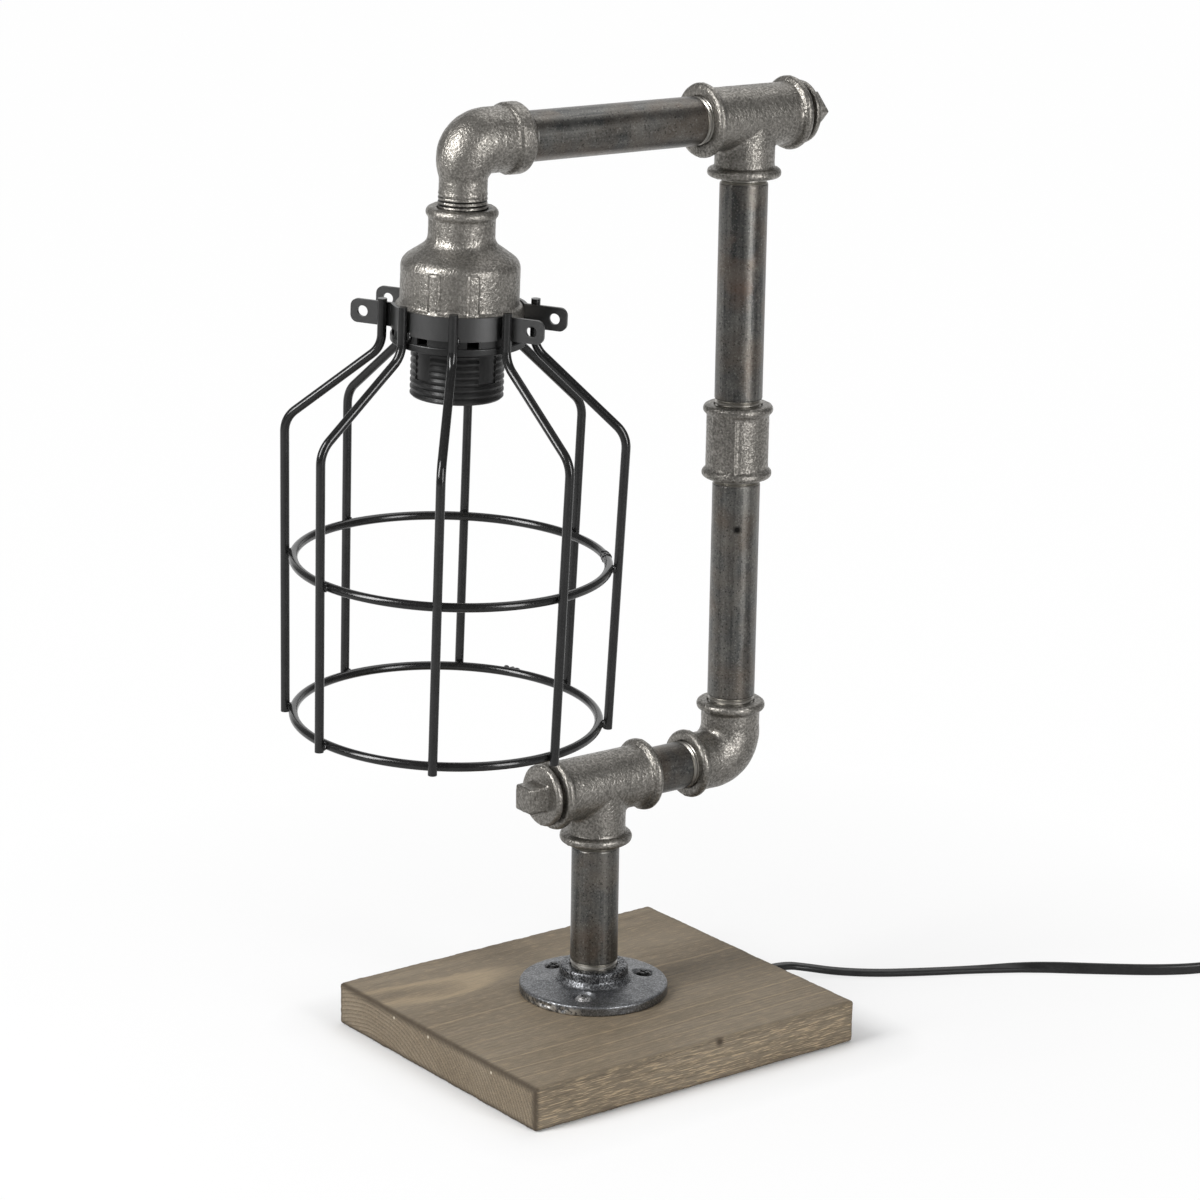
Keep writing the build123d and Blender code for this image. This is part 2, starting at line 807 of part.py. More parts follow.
def screw_shell():
    """The metal shell that the lamp screws into."""
    top = -shell_top()
    inner = lamp_thread_bore / 2
    body = disc(inner + shell_wall, top - shell_length, top) - disc(inner, top - shell_length - 1, top + 1)
    rim = disc(core_od / 2 - shell_rim_inset, top - shell_wall, top) - disc(inner, top - 1, top + 1)
    return (body + rim).solid()


def centre_contact():
    """The spring tongue in the core's recess, above the shell."""
    top = -core_top() - core_depth - tongue_thick / 2
    path = Polyline(
        (tongue_foot_x, 0, top), (tongue_bend_x, 0, top), (tongue_peak_x, 0, top - tongue_drop),
        (tongue_end_x, 0, top - tongue_drop + tongue_dip))
    start = Plane(origin=path @ 0, x_dir=(0, 1, 0), z_dir=path % 0)
    strip = start * Rectangle(tongue_width, tongue_thick)
    return sweep(strip, path=path, transition=Transition.RIGHT).solid()


def side_contact():
    """The strap beside the shell, in the space between it and the skirt."""
    top = -shell_top() - shell_wall
    inner = lamp_thread_bore / 2 + shell_wall + side_contact_gap
    low = top - side_contact_length
    body = slab(inner, inner + side_contact_thick, side_contact_width, low, top)
    body += slab(inner, inner + side_contact_tab, side_contact_width, top - side_contact_thick, top)
    return body.solid()


def shade_ring():
    """The threaded ring under the bell, with its slotted collar."""
    low = -(ring_top + ring_thick)
    body = disc(ring_od / 2, low, -ring_top)
    body = fillet(body.edges().filter_by(GeomType.CIRCLE), ring_edge)
    collar = disc(ring_collar_od / 2, -ring_top, -collar_top)
    collar -= disc(ring_collar_bore / 2, -ring_top, -collar_top)
    notch = slab(0, ring_collar_od, ring_slot_width, -ring_top, -collar_top)
    for slot in range(ring_slots):
        collar -= Rot(0, 0, (slot + 0.5) * 360 / ring_slots) * notch
    body += collar
    body -= disc(skirt_od / 2 + ring_gap, low - 1, -ring_top + 1)
    return body.solid()


def band_half(turn):
    """Half of the clamp band, with its two ears, turned about the head's axis."""
    mid = (band_bore + band_outer) / 2
    reach = math.sqrt(mid ** 2 - ear_offset ** 2)
    sector = Circle(band_outer) - Circle(band_bore)
    sector &= Pos(0, -band_outer) * Rectangle(4 * band_outer, 2 * (band_outer - ear_offset + band_thick / 2))
    ears = Sketch()
    for side in (-1, 1):
        length = ear_end - reach
        ears += Pos(side * (reach + length / 2), -ear_offset) * Rectangle(length, band_thick)
    body = extrude(Pos(0, 0, -collar_top) * (sector + ears), band_height)
    for side in (-1, 1):
        hole = Rot(90, 0, 0) * Cylinder(ear_hole_d / 2, 3 * band_thick)
        body -= Pos(side * ear_hole_at, -ear_offset, -collar_top + band_height / 2) * hole
    corners = body.edges().filter_by(Axis.Y).sort_by(Axis.X)
    body = fillet(corners[:2] + corners[-2:], ear_round)
    return (Rot(0, 0, band_split_angle + turn) * body).solid()


def wire_start(index):
    """Where wire number index stands on the band: on its arc, or on an ear."""
    angle = math.radians(wire_angle - 45 * index)
    if index % 4 in (0, 1):
        return (wire_start_radius * math.cos(angle), wire_start_radius * math.sin(angle))
    along = -ear_wire_at if index % 4 == 2 else ear_wire_at
    out = ear_offset + band_thick / 2 + weld_gap + wire_radius
    half = 0 if index in (0, 1, 2, 7) else 180
    split = math.radians(band_split_angle + half)
    return (along * math.cos(split) + out * math.sin(split), along * math.sin(split) - out * math.cos(split))


def cage_wire(index):
    angle = math.radians(wire_angle - 45 * index)
    x, y = wire_start(index)
    toward = (math.cos(angle), math.sin(angle))
    points = [(x, y, -(band_top - wire_rise)), (x, y, -wire_bend_depth)]
    for radius, depth in ((wire_shoulder_radius, wire_shoulder_depth), (wire_end_radius, wire_end_depth)):
        points.append((radius * toward[0], radius * toward[1], -depth))
    return tube(points, [wire_first_bend, wire_second_bend], wire_d)


def wire_radius_at(depth):
    """Distance from the head's axis of a wire's centre line, below its shoulder."""
    share = (depth - wire_shoulder_depth) / (wire_end_depth - wire_shoulder_depth)
    return wire_shoulder_radius + (wire_end_radius - wire_shoulder_radius) * share


def cage_ring(depth):
    """A wire ring welded inside the upright wires."""
    radius = wire_radius_at(depth) - wire_d - weld_gap
    return (Pos(0, 0, -depth) * Torus(radius, wire_radius)).solid()


def on_head(shape):
    """Places a piece of the lamp head, which leans a little about the arm's axis."""
    return Pos(head_x, 0, arm_z) * Rot(head_lean, 0, 0) * shape


def switch_shell(low, high, edge_face):
    """A solid slab of the switch between two heights, with its long edges rounded at one face."""
    outline = RectangleRounded(switch_length, switch_width, switch_corner)
    body = extrude(Pos(0, 0, low) * outline, high - low)
    return fillet(body.faces().sort_by(Axis.Z)[edge_face].edges(), switch_edge)


def switch_hollow(low, high):
    length = switch_length - 2 * switch_end_wall
    outline = RectangleRounded(length, switch_width - 2 * switch_wall, switch_hollow_corner)
    return extrude(Pos(0, 0, low) * outline, high - low)


def switch_base():
    body = switch_shell(0, switch_split, 0) - switch_hollow(switch_wall, switch_split)
    for side in (-1, 1):
        post = disc(case_screw_head_d / 2 + case_post_wall, switch_wall, switch_split)
        hole = disc(case_screw_d / 2 + fit_gap, 0, switch_split)
        head = disc(case_screw_head_d / 2 + fit_gap, 0, case_screw_head)
        body += Pos(side * case_screw_offset, 0, 0) * post
        body -= Pos(side * case_screw_offset, 0, 0) * (hole + head)
    return body.solid()


def rocker_pivot():
    """Height of the rocker's pins."""
    return switch_height - rocker_pin_depth


def switch_cover():
    body = switch_shell(switch_split, switch_height, -1)
    body -= switch_hollow(switch_split, switch_height - switch_wall)
    for side in (-1, 1):
        post = disc(case_screw_head_d / 2 + case_post_wall, switch_split, switch_height - switch_wall)
        hole = disc(case_screw_d / 2 + fit_gap, switch_split, case_screw_length + 2 * fit_gap)
        body += Pos(side * case_screw_offset, 0, 0) * post
        body -= Pos(side * case_screw_offset, 0, 0) * hole
    well = rocker_length / 2 + rocker_end_gap
    width = rocker_width + 2 * rocker_side_gap
    frame = well + switch_wall
    frame_top = switch_height - rocker_frame_sink
    body += slab(-frame, frame, width + 2 * switch_wall, switch_split, frame_top)
    body -= slab(-well, well, width, switch_split - 1, switch_height + 1)
    reach = rocker_width + 2 * rocker_pin_length + 2 * rocker_pin_clear
    body -= Pos(0, 0, rocker_pivot()) * Rot(90, 0, 0) * Cylinder(rocker_pin_d / 2 + fit_gap, reach)
    return body.solid()


def switch_rocker():
    """The rocker, dished along its length, with a pin at each side."""
    top = switch_height + rocker_proud
    body = Pos(0, 0, top - rocker_depth / 2) * Box(rocker_length, rocker_width, rocker_depth)
    body = fillet(body.edges().filter_by(Axis.Y), rocker_edge)
    dish = Rot(90, 0, 0) * Cylinder(rocker_dish_radius, rocker_width + 2)
    body -= Pos(0, 0, top + rocker_dish_radius - rocker_dish_depth) * dish
    pins = Rot(90, 0, 0) * Cylinder(rocker_pin_d / 2, rocker_width + 2 * rocker_pin_length)
    return (body + Pos(0, 0, rocker_pivot()) * pins).solid()


def case_screws():
    solids = []
    for side in (-1, 1):
        body = disc(case_screw_head_d / 2, case_screw_sink, case_screw_head)
        body += disc(case_screw_d / 2, case_screw_sink, case_screw_length)
        body -= Pos(0, 0, case_screw_sink) * Box(case_screw_head_d + 1, slot_width, 2 * slot_depth)
        solids.append((Pos(side * case_screw_offset, 0, 0) * body).solid())
    return solids


def switch_contacts():
    """The two brass bars that join the cord's cores, on the floor of the base."""
    bar = Box(contact_length, contact_width, contact_height)
    low = switch_wall + contact_height / 2
    return [(Pos(0, side * contact_spacing / 2, low) * bar).solid() for side in (-1, 1)]


def on_cord(shape):
    return Pos(switch_x + switch_length / 2, switch_y, 0) * shape


arc_share = 0.45

lamp_side_route = [
    (boot_tip_x, 0, lead_height),
    (112.0, 0, lead_height),
    (122.0, -3.2, 5.2),
    (134.0, -11.5, 3.6),
    (149.0, -22.5, 2.7),
    (168.0, -33.8, 2.7),
    (192.0, -47.3, 2.7),
    (214.0, -60.6, 2.7),
    (238.0, -81.3, 2.7),
    (259.0, -97.8, 2.7),
    (277.0, -107.8, 2.7),
    (291.5, -112.4, 3.5),
    (304.5, switch_y, switch_split),
    (switch_x, switch_y, switch_split),
]

plug_side_route = [
    (switch_x + switch_length, switch_y, switch_split),
    (392.0, switch_y, switch_split),
    (408.5, switch_y, coil_z),
    (coil_x - lead_d, switch_y, coil_z),
]

tail_route = [
    (coil_x + coil_outer, tail_y, tail_z),
    (coil_x + coil_outer, tail_y + tail_length / 3, tail_z),
    (coil_x + coil_outer, tail_y + 2 * tail_length / 3, plug_case_height / 2),
    (coil_x + coil_outer, tail_y + tail_length, plug_case_height / 2),
]


def route_radii(route):
    """Each corner's arc, as large as its two runs allow."""
    radii = []
    for before, corner, after in zip(route, route[1:], route[2:]):
        run_in = Vector(*corner) - Vector(*before)
        run_out = Vector(*after) - Vector(*corner)
        half_turn = math.radians(run_in.get_angle(run_out)) / 2
        radii.append(arc_share * min(run_in.length, run_out.length) / math.tan(half_turn))
    return radii


def swept_cord(name, path):
    """The round cord along a path. It prints its length and how its volume compares with that length."""
    start = Plane(origin=path @ 0, z_dir=path % 0)
    body = sweep(start * Circle(lead_d / 2), path=path).solid()
    share = body.volume / (math.pi * lead_d ** 2 / 4 * path.length)
    print(name, "length", round(path.length, 1), "volume share", round(share, 4))
    return body


def free_cord(name, route):
    radii = route_radii(route)
    print(name, "radii", [round(r, 1) for r in radii])
    print(name, "radii in diameters", [round(r / lead_d, 1) for r in radii])
    path = FilletPolyline(*route, radius=radii)
    return swept_cord(name, path), path.length


def coil_point(centre, radius, angle, height):
    """A point of the coil: angle 0 is on its -Y side, and the turns run anticlockwise."""
    return (coil_x + radius * math.sin(angle), coil_y + centre - radius * math.cos(angle), coil_z + height)


def level_turn(centre, radius, angle, share, height):
    """Part of a turn that stays in its layer, as one arc."""
    angles = [angle + math.pi * share * part for part in (0, 0.5, 1)]
    return [ThreePointArc(*[coil_point(centre, radius, spot, height) for spot in angles])]


def climbing_turn(centre, radius, angle):
    """The half turn up to the next layer, as two tangent arcs that are level at its ends."""
    first = coil_point(centre, radius, angle, 0)
    middle = coil_point(centre, math.hypot(radius, coil_pitch / 2), angle + math.pi / 2, coil_pitch / 2)
    last = coil_point(centre, radius, angle + math.pi, coil_pitch)
    up = TangentArc(first, middle, tangent=(math.cos(angle), math.sin(angle), 0))
    return [up, TangentArc(middle, last, tangent=up % 1)]


def coil_path():
    """Straight in, half turns inwards, the climb, half turns outwards and straight out to the tail."""
    step = coil_pitch / 2
    inner = coil_outer - coil_half_turns * step
    edges = [Line((coil_x - lead_d, switch_y, coil_z), (coil_x, switch_y, coil_z))]
    place = -coil_outer
    for turn in range(2 * coil_half_turns + 1):
        side = 1 if turn % 2 else -1
        steps = abs(turn - coil_half_turns)
        radius = inner + steps * step
        centre = place - side * radius
        if turn == coil_half_turns:
            edges += climbing_turn(centre, radius, turn * math.pi)
        elif turn < 2 * coil_half_turns:
            height = 0 if turn < coil_half_turns else coil_pitch
            edges += level_turn(centre, radius, turn * math.pi, 1, height)
        else:
            edges += level_turn(centre, radius, turn * math.pi, 0.5, coil_pitch)
        place = centre - side * radius
    end = edges[-1] @ 1
    edges.append(Line(end, end + Vector(0, lead_d, 0)))
    return edges


def least_gap(edges, spots=24):
    """The least gap between the cord's turns, on points of its line that are half a turn or more apart."""
    points = [edge @ (n / spots) for edge in edges for n in range(spots)]
    pairs = (abs(a - b) for i, a in enumerate(points) for b in points[i + spots:])
    return min(pairs) - lead_d


def cord_coil():
    edges = coil_path()
    print("coil least gap", round(least_gap(edges[1:-1]), 3))
    path = Wire(edges)
    return swept_cord("coil", path), path.length


def mains_plug():
    """The flat two-pin plug's moulding. Its strain relief points to -Y, with its tip at Y = 0."""
    middle = plug_case_height / 2
    root = plug_relief_length
    end = root + plug_case_length
    waist = root + plug_neck_length
    grip = end - plug_grip_length
    side = plug_case_width / 2
    right = [(plug_neck / 2, root), (plug_waist / 2, waist), (side, grip), (side, end)]
    left = [(-x, y) for x, y in reversed(right)]
    body = extrude(make_face(Polyline(*right, *left, close=True)), plug_case_height)
    body = fillet(body.edges().filter_by(Axis.Z), plug_case_corner)
    for face in (0, -1):
        body = fillet(body.faces().sort_by(Axis.Z)[face].edges(), plug_edge_round)
    relief = [(0, -root - plug_relief_root), (plug_relief_root_d / 2, -root - plug_relief_root)]
    relief += [(plug_relief_root_d / 2, -root), (plug_relief_tip_d / 2, 0), (0, 0)]
    body += Pos(0, 0, middle) * Rot(90, 0, 0) * ring_solid(relief)
    hole = Rot(90, 0, 0) * Cylinder(plug_pin_d / 2 + fit_gap, 2 * plug_pin_root)
    for x in (-plug_pin_spacing / 2, plug_pin_spacing / 2):
        body -= Pos(x, end, middle) * hole
    return body.solid()


def plug_pins():
    """The two round pins, insulated and a little thinner for the half next to the case."""
    end = plug_relief_length + plug_case_length
    solids = []
    for side in (-1, 1):
        pin = disc(plug_pin_d / 2, -plug_pin_length, -plug_pin_sleeve)
        pin = fillet(pin.faces().sort_by(Axis.Z)[0].edges(), plug_pin_round)
        pin += disc(plug_pin_sleeve_d / 2, -plug_pin_sleeve, plug_pin_root)
        place = Pos(side * plug_pin_spacing / 2, end, plug_case_height / 2)
        solids.append((place * Rot(90, 0, 0) * pin).solid())
    return solids


def on_tail(shape):
    return Pos(*tail_route[-1][:2], 0) * shape


def write_stand():
    write("base_board", board())
    write("floor_flange", Pos(0, 0, board_top) * flange())
    seat = flange_screw_seat()
    write("flange_screws", *[Pos(*place, seat) * flange_screw() for place in flange_hole_places()])
    riser_low = board_top + flange_height - thread_grip
    write("riser_pipe", Pos(0, 0, riser_low) * pipe(run_z - fitting_reach + thread_grip - riser_low))
    write("lower_tee", Pos(0, 0, run_z) * tee())
    write("lower_plug", Pos(-fitting_reach, 0, run_z) * Rot(0, -90, 0) * plug(plug_gap))
    nipple_low = fitting_reach - thread_grip
    write("lower_nipple", along_x(pipe(upright_x - 2 * nipple_low), nipple_low, run_z))
    write("lower_elbow", Pos(upright_x, 0, run_z) * Rot(0, 180, 0) * elbow())
    low = run_z + fitting_reach - thread_grip
    middle = coupling_z - coupling_length / 2 + thread_grip
    write("lower_upright_pipe", Pos(upright_x, 0, low) * pipe(middle - low))
    write("upright_coupling", Pos(upright_x, 0, coupling_z) * coupling())
    low = coupling_z + coupling_length / 2 - thread_grip
    high = arm_z - fitting_reach + thread_grip
    write("upper_upright_pipe", Pos(upright_x, 0, low) * pipe(high - low))
    write("stand_lead", stand_lead())
    write("cord_boot", cord_boot())
    write("cord_anchor", cord_anchor())
    write("anchor_screws", *anchor_screws())
    write("groove_cover", groove_cover())
    write("cover_screws", *cover_screws())


def write_arm():
    write("upper_tee", Pos(upright_x, 0, arm_z) * tee())
    rear = along_x(Rot(0, 0, 45) * plug(rear_plug_gap), upright_x + fitting_reach, arm_z)
    write("upper_plug", rear)
    low = head_x + street_reach - thread_grip
    write("arm_pipe", along_x(pipe(upright_x - fitting_reach + thread_grip - low), low, arm_z))
    write("arm_lead", arm_lead())


def write_head():
    write("street_elbow", on_head(street_elbow()))
    write("head_lead", on_head(head_lead()))
    write("reducing_socket", on_head(reducing_socket()))
    write("entry_bush", on_head(entry_bush()))
    write("entry_nipple", on_head(entry_nipple()))
    write("nipple_nut", on_head(nipple_nut()))
    write("holder_cap", on_head(holder_cap()))
    write("holder_skirt", on_head(holder_skirt()))
    write("holder_core", on_head(holder_core()))
    write("screw_shell", on_head(screw_shell()))
    write("centre_contact", on_head(centre_contact()))
    write("side_contact", on_head(side_contact()))
    write("terminal_screws", *[on_head(s) for s in terminal_screws()])
    write("shade_ring", on_head(shade_ring()))
    write("cage_band_front", on_head(band_half(0)))
    write("cage_band_rear", on_head(band_half(180)))
    for index in range(wire_count):
        write(f"cage_wire_{index + 1}", on_head(cage_wire(index)))
    write("cage_mid_ring", on_head(cage_ring(mid_ring_depth)))
    write("cage_low_ring", on_head(cage_ring(low_ring_depth)))


def write_cord():
    lamp_side, first = free_cord("lamp side cord", lamp_side_route)
    plug_side, second = free_cord("plug side cord", plug_side_route)
    tail, third = free_cord("tail", tail_route)
    coil, wound = cord_coil()
    write("cord_lamp_side", lamp_side)
    write("cord_plug_side", plug_side)
    write("cord_coil", coil)
    write("cord_tail", tail)
    total = first + switch_length + second + wound + third
    print("cord length from the strain relief to the plug", round(total, 1))
    write("switch_base", on_cord(switch_base()))
    write("switch_cover", on_cord(switch_cover()))
    write("switch_rocker", on_cord(switch_rocker()))
    write("switch_screws", *[on_cord(s) for s in case_screws()])
    write("switch_contacts", *[on_cord(s) for s in switch_contacts()])
    write("plug_case", on_tail(mains_plug()))
    write("plug_pins", *[on_tail(s) for s in plug_pins()])


os.makedirs("parts", exist_ok=True)
write_stand()
write_arm()
write_head()
write_cord()
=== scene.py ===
from functools import reduce
import math

import bmesh
import bpy
from mathutils import Matrix, Vector, bvhtree, noise


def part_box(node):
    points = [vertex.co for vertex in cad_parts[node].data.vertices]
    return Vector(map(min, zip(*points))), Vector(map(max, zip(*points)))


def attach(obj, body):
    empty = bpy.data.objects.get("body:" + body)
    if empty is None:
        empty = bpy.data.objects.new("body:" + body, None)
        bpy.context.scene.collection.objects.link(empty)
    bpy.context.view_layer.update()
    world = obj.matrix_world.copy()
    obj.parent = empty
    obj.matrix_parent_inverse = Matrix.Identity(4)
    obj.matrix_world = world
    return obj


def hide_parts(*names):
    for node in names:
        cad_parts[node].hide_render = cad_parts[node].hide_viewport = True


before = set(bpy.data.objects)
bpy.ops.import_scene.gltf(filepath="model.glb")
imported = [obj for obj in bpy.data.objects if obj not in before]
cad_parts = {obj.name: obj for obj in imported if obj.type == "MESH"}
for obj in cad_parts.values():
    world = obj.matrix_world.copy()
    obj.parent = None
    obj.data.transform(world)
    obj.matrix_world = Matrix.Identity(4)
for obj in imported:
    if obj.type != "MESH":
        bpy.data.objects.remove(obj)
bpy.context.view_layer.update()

# Every length here is in metres unless its name says otherwise.
MM = 0.001

# Where each axis stands in a point
X, Y, Z = 0, 1, 2

# Camera, as found from the photograph
focal_length_mm = 110.08
sensor_mm = 36.0
camera_azimuth = -37.27
camera_elevation = 15.40
camera_roll = 0.90
camera_distance = 1.60093
camera_target = (0.00035, 0.0, 0.20102)

# Stage: the floor glows white away from the board, and keeps the shadow near it.
# A glow runs between two distances from the board, and has its share of white at each.
ambient_grey = 0.24
room_grey = 0.20
backdrop_edge = (0.70, 0.85)
floor_width = 8.0
floor_drop = 0.2 * MM
floor_grey = 0.82
mirrored_floor_grey = 0.45
glow_edge = (1 * MM, 34 * MM, 0.04, 0.74)
glow_rest = (24 * MM, 0.30, 0.0, 0.25)
floor_behind = (-0.02, 0.30)
lamps_aim = (0, 0, 0.2)

# Noise lies mostly within the first range, and nearly always within the second
most_noise = (0.35, 0.65)
all_noise = (0.3, 0.7)

# Board: growth rings about a heart below it, worn edges with painted shade along them, and one small
# knot.
# A pale line fades in between two shares of its spacing from the middle of each gap.
board_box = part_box("base_board")
wood_heart = (0.0, 0.045, -0.055)
wood_ring = 1.9 * MM
wood_band = 2.125 * MM
wood_line = 8.0 * MM
wood_line_fade = (0.43, 0.48)
wood_sway = 9 * MM
wood_knot = (0.0105, -0.0778, 0.0180)
facing_edge = (0.5, 0.8)
# Painted shade along the board's edges: how far in it fades, and over which insets from the left end it
# weakens
edge_shade_reach = (0.6 * MM, 3.2 * MM)
end_shade_reach = (1.5 * MM, 3 * MM)
board_chips = ((-0.0886, 0.0016, 0.0168), (-0.0886, -0.0458, 0.0164), (-0.0886, 0.0281, 0.0170))
board_voxel = 0.7 * MM
board_soften = 2
board_wear = 0.5 * MM
board_wear_reach = 2.6 * MM
board_mean_dent = 0.45
board_dents = ((9 * MM, 0.9), (2.2 * MM, 0.8))

# Street elbow: the bare turns of its thread, with painted shade in its grooves. A groove's painted shade
# fades between two shares of a turn from its middle.
elbow_thread = (-0.0731, 0.0012, 0.3782)
thread_crest = 0.36764
thread_pitch = 1.814 * MM
groove_shade_fade = (0.16, 0.30)

# Pipes: the axis that each runs along, its bare threads and its marks
pipes = {
    "riser_pipe": Z,
    "lower_upright_pipe": Z,
    "upper_upright_pipe": Z,
    "lower_nipple": X,
    "arm_pipe": X,
}
bare_thread = 14.9 * MM
score_stretch = 30.0
pipe_blemish = (0.0695, -0.0088, 0.2246)
pipe_rust = ((0.0683, -0.0079, 0.3500), (0.0687, -0.0082, 0.3320), (-0.0049, -0.0094, 0.0448))
rust_share = 0.6

# Castings, each with its body and its slot
castings = (
    ("lower_tee", "stand", "fitting"),
    ("lower_plug", "stand", "fitting"),
    ("lower_elbow", "stand", "fitting"),
    ("upright_coupling", "stand", "fitting"),
    ("upper_tee", "arm", "fitting"),
    ("upper_plug", "arm", "fitting"),
    ("street_elbow", "head", "fitting"),
    ("reducing_socket", "head", "bell"),
)

# How finely castings are remade, how soft their edges are, and how their skin waves.
# Waves, and the board's dents, come in layers, each with its size and its strength.
cast_voxel = 0.45 * MM
cast_soften = 9
cast_wave = 0.08 * MM
cast_waves = ((5 * MM, 1.0), (2.2 * MM, 0.6))
seam_rise = 0.16 * MM
seam_half_width = 0.7 * MM

# Flange: its skin, the place where its rim is knocked, and its one bright screw; its other two screws are
# painted dark as shade.
# The extra is added to the noise that chips the rim, and makes the chips wider.
flange_soften = 3
flange_wave = 0.10 * MM
flange_waves = ((4 * MM, 1.0), (1.6 * MM, 0.7))
flange_knock = (-0.0315, -0.0085, 0.0215)
flange_bright_below = (0.0222, 0.0236)
chip_depth = 1.1 * MM
chip_size = 1.9 * MM
chip_extra = 0.1
chip_reach = 18 * MM
chip_height = 2.2 * MM
front_screw = (-0.0175, -0.0160, 0.0235)

# Cage, with the lumps of weld on it and how far each kind is drawn out
cage_wires = [f"cage_wire_{number}" for number in range(1, 9)]
cage_rings = ("cage_mid_ring", "cage_low_ring")
cage_bands = ("cage_band_front", "cage_band_rear")
weld_radius = 1.5 * MM
weld_rough = 0.5 * MM
weld_lump = 1.1 * MM
ring_weld = (0.9, 0.9, 1.2)
band_weld = (0.8, 0.8, 1.3)
butt_weld = (1.45, 1.45, 1.45)
butt_welds = (
    ((-0.0117, -0.0186, 0.2270), (-0.0137, -0.0229, 0.2268)),
    ((-0.0161, 0.0465, 0.1604), (-0.0138, 0.0424, 0.1602)),
)
band_touch = 1.6 * MM

# Plug: the bare length of its pins; and how sharp the edge of a sleeve or a bare thread is
pin_bare = 9 * MM
mask_edge = 0.1 * MM

# Black skins: how many times paler their clouds and grains are, and how far their roughness varies
cloud_lift = 1.6
grain_lift = 3
rough_range = 0.14

# Tones as linear red, green and blue, with a full alpha. Noise blends the two of a pair.
white = (1.0, 1.0, 1.0, 1)
cast_dark = ((0.140, 0.133, 0.120, 1), (0.185, 0.174, 0.158, 1))
cast_pale = ((0.31, 0.295, 0.268, 1), (0.38, 0.361, 0.331, 1))
# Painted shade for the grooves of the street elbow's thread
groove_shade_tone = (0.02, 0.019, 0.017, 1)
pipe_tones = ((0.078, 0.080, 0.079, 1), (0.172, 0.170, 0.161, 1))
pipe_warm = (0.158, 0.134, 0.112, 1)
pipe_cloud = (0.205, 0.197, 0.180, 1)
pipe_speck = (0.29, 0.28, 0.265, 1)
pipe_pit = (0.030, 0.030, 0.030, 1)
pipe_red = (0.170, 0.112, 0.084, 1)
pipe_black = (0.018, 0.017, 0.016, 1)
pipe_bare = (0.40, 0.385, 0.355, 1)
flange_tones = ((0.150, 0.155, 0.162, 1), (0.245, 0.250, 0.258, 1))
flange_grain = (0.42, 0.43, 0.45, 1)
flange_pit = (0.022, 0.022, 0.024, 1)
flange_bright = (0.58, 0.57, 0.55, 1)
bright_screw = ((0.30, 0.30, 0.30, 1), (0.72, 0.71, 0.70, 1))
# Painted shade on the flange's two screws away from the front
screw_shade_tones = ((0.012, 0.012, 0.012, 1), (0.06, 0.06, 0.06, 1))
zinc_tones = ((0.34, 0.34, 0.33, 1), (0.62, 0.61, 0.59, 1))
brass_tones = ((0.42, 0.29, 0.11, 1), (0.74, 0.58, 0.30, 1))
nickel_tones = ((0.50, 0.47, 0.40, 1), (0.72, 0.69, 0.62, 1))
pin_sleeve = (0.015, 0.015, 0.015, 1)
glaze_tones = ((0.66, 0.61, 0.50, 1), (0.76, 0.72, 0.62, 1))
glaze_speck = (0.40, 0.33, 0.24, 1)
chip_tone = (0.60, 0.54, 0.43, 1)
stained_tones = {
    "deep": (0.172, 0.138, 0.096, 1),
    "plain": (0.228, 0.188, 0.136, 1),
    "pale": (0.44, 0.34, 0.215, 1),
    "stain_and_edge_shade": (0.058, 0.044, 0.030, 1),
}
bare_tones = {
    "deep": (0.40, 0.28, 0.16, 1),
    "plain": (0.50, 0.37, 0.23, 1),
    "pale": (0.60, 0.47, 0.31, 1),
    "stain_and_edge_shade": (0.24, 0.15, 0.08, 1),
}

# Cord: its route repeats the part's own, lowered where the flat cord lies flat.
# Between its two round sides it dips to a share of its half thickness.
cord_width = 5.4 * MM
cord_thick = 3.0 * MM
cord_dip = 0.80
cord_side_points = 9
lamp_side_route = [
    (0.10205, 0.0, 0.0068),
    (0.112, 0.0, 0.0066),
    (0.122, -0.0032, 0.0044),
    (0.134, -0.0115, 0.0022),
    (0.149, -0.0225, 0.0015),
    (0.168, -0.0338, 0.0015),
    (0.192, -0.0473, 0.0018),
    (0.214, -0.0606, 0.0025),
    (0.238, -0.0813, 0.0027),
    (0.259, -0.0978, 0.0027),
    (0.277, -0.1078, 0.0027),
    (0.2915, -0.1124, 0.0035),
    (0.3045, -0.114, 0.007),
    (0.317, -0.114, 0.007),
]
plug_side_route = [
    (0.379, -0.114, 0.007),
    (0.392, -0.114, 0.007),
    (0.4085, -0.114, 0.0027),
    (0.4226, -0.114, 0.0027),
]
tail_route = [
    (0.4702, -0.06055, 0.00855),
    (0.4702, -0.05055, 0.00855),
    (0.4702, -0.04055, 0.00685),
    (0.4702, -0.03055, 0.00685),
]
cord_turns_on_edge_at = (6, 8)
coil_centre = (0.428, -0.0718)
coil_outer = 42.2 * MM
coil_pitch = 5.85 * MM
coil_half_turns = 7
coil_low_z = 2.7 * MM
coil_points_per_half_turn = 8


def link(piece):
    bpy.context.scene.collection.objects.link(piece)
    return piece


def direction(azimuth, elevation):
    """The way out from the object at two angles in degrees; at 0, 0 it is -Y, the front."""
    azimuth = math.radians(azimuth)
    elevation = math.radians(elevation)
    level = math.cos(elevation)
    return Vector((math.sin(azimuth) * level, -math.cos(azimuth) * level, math.sin(elevation)))


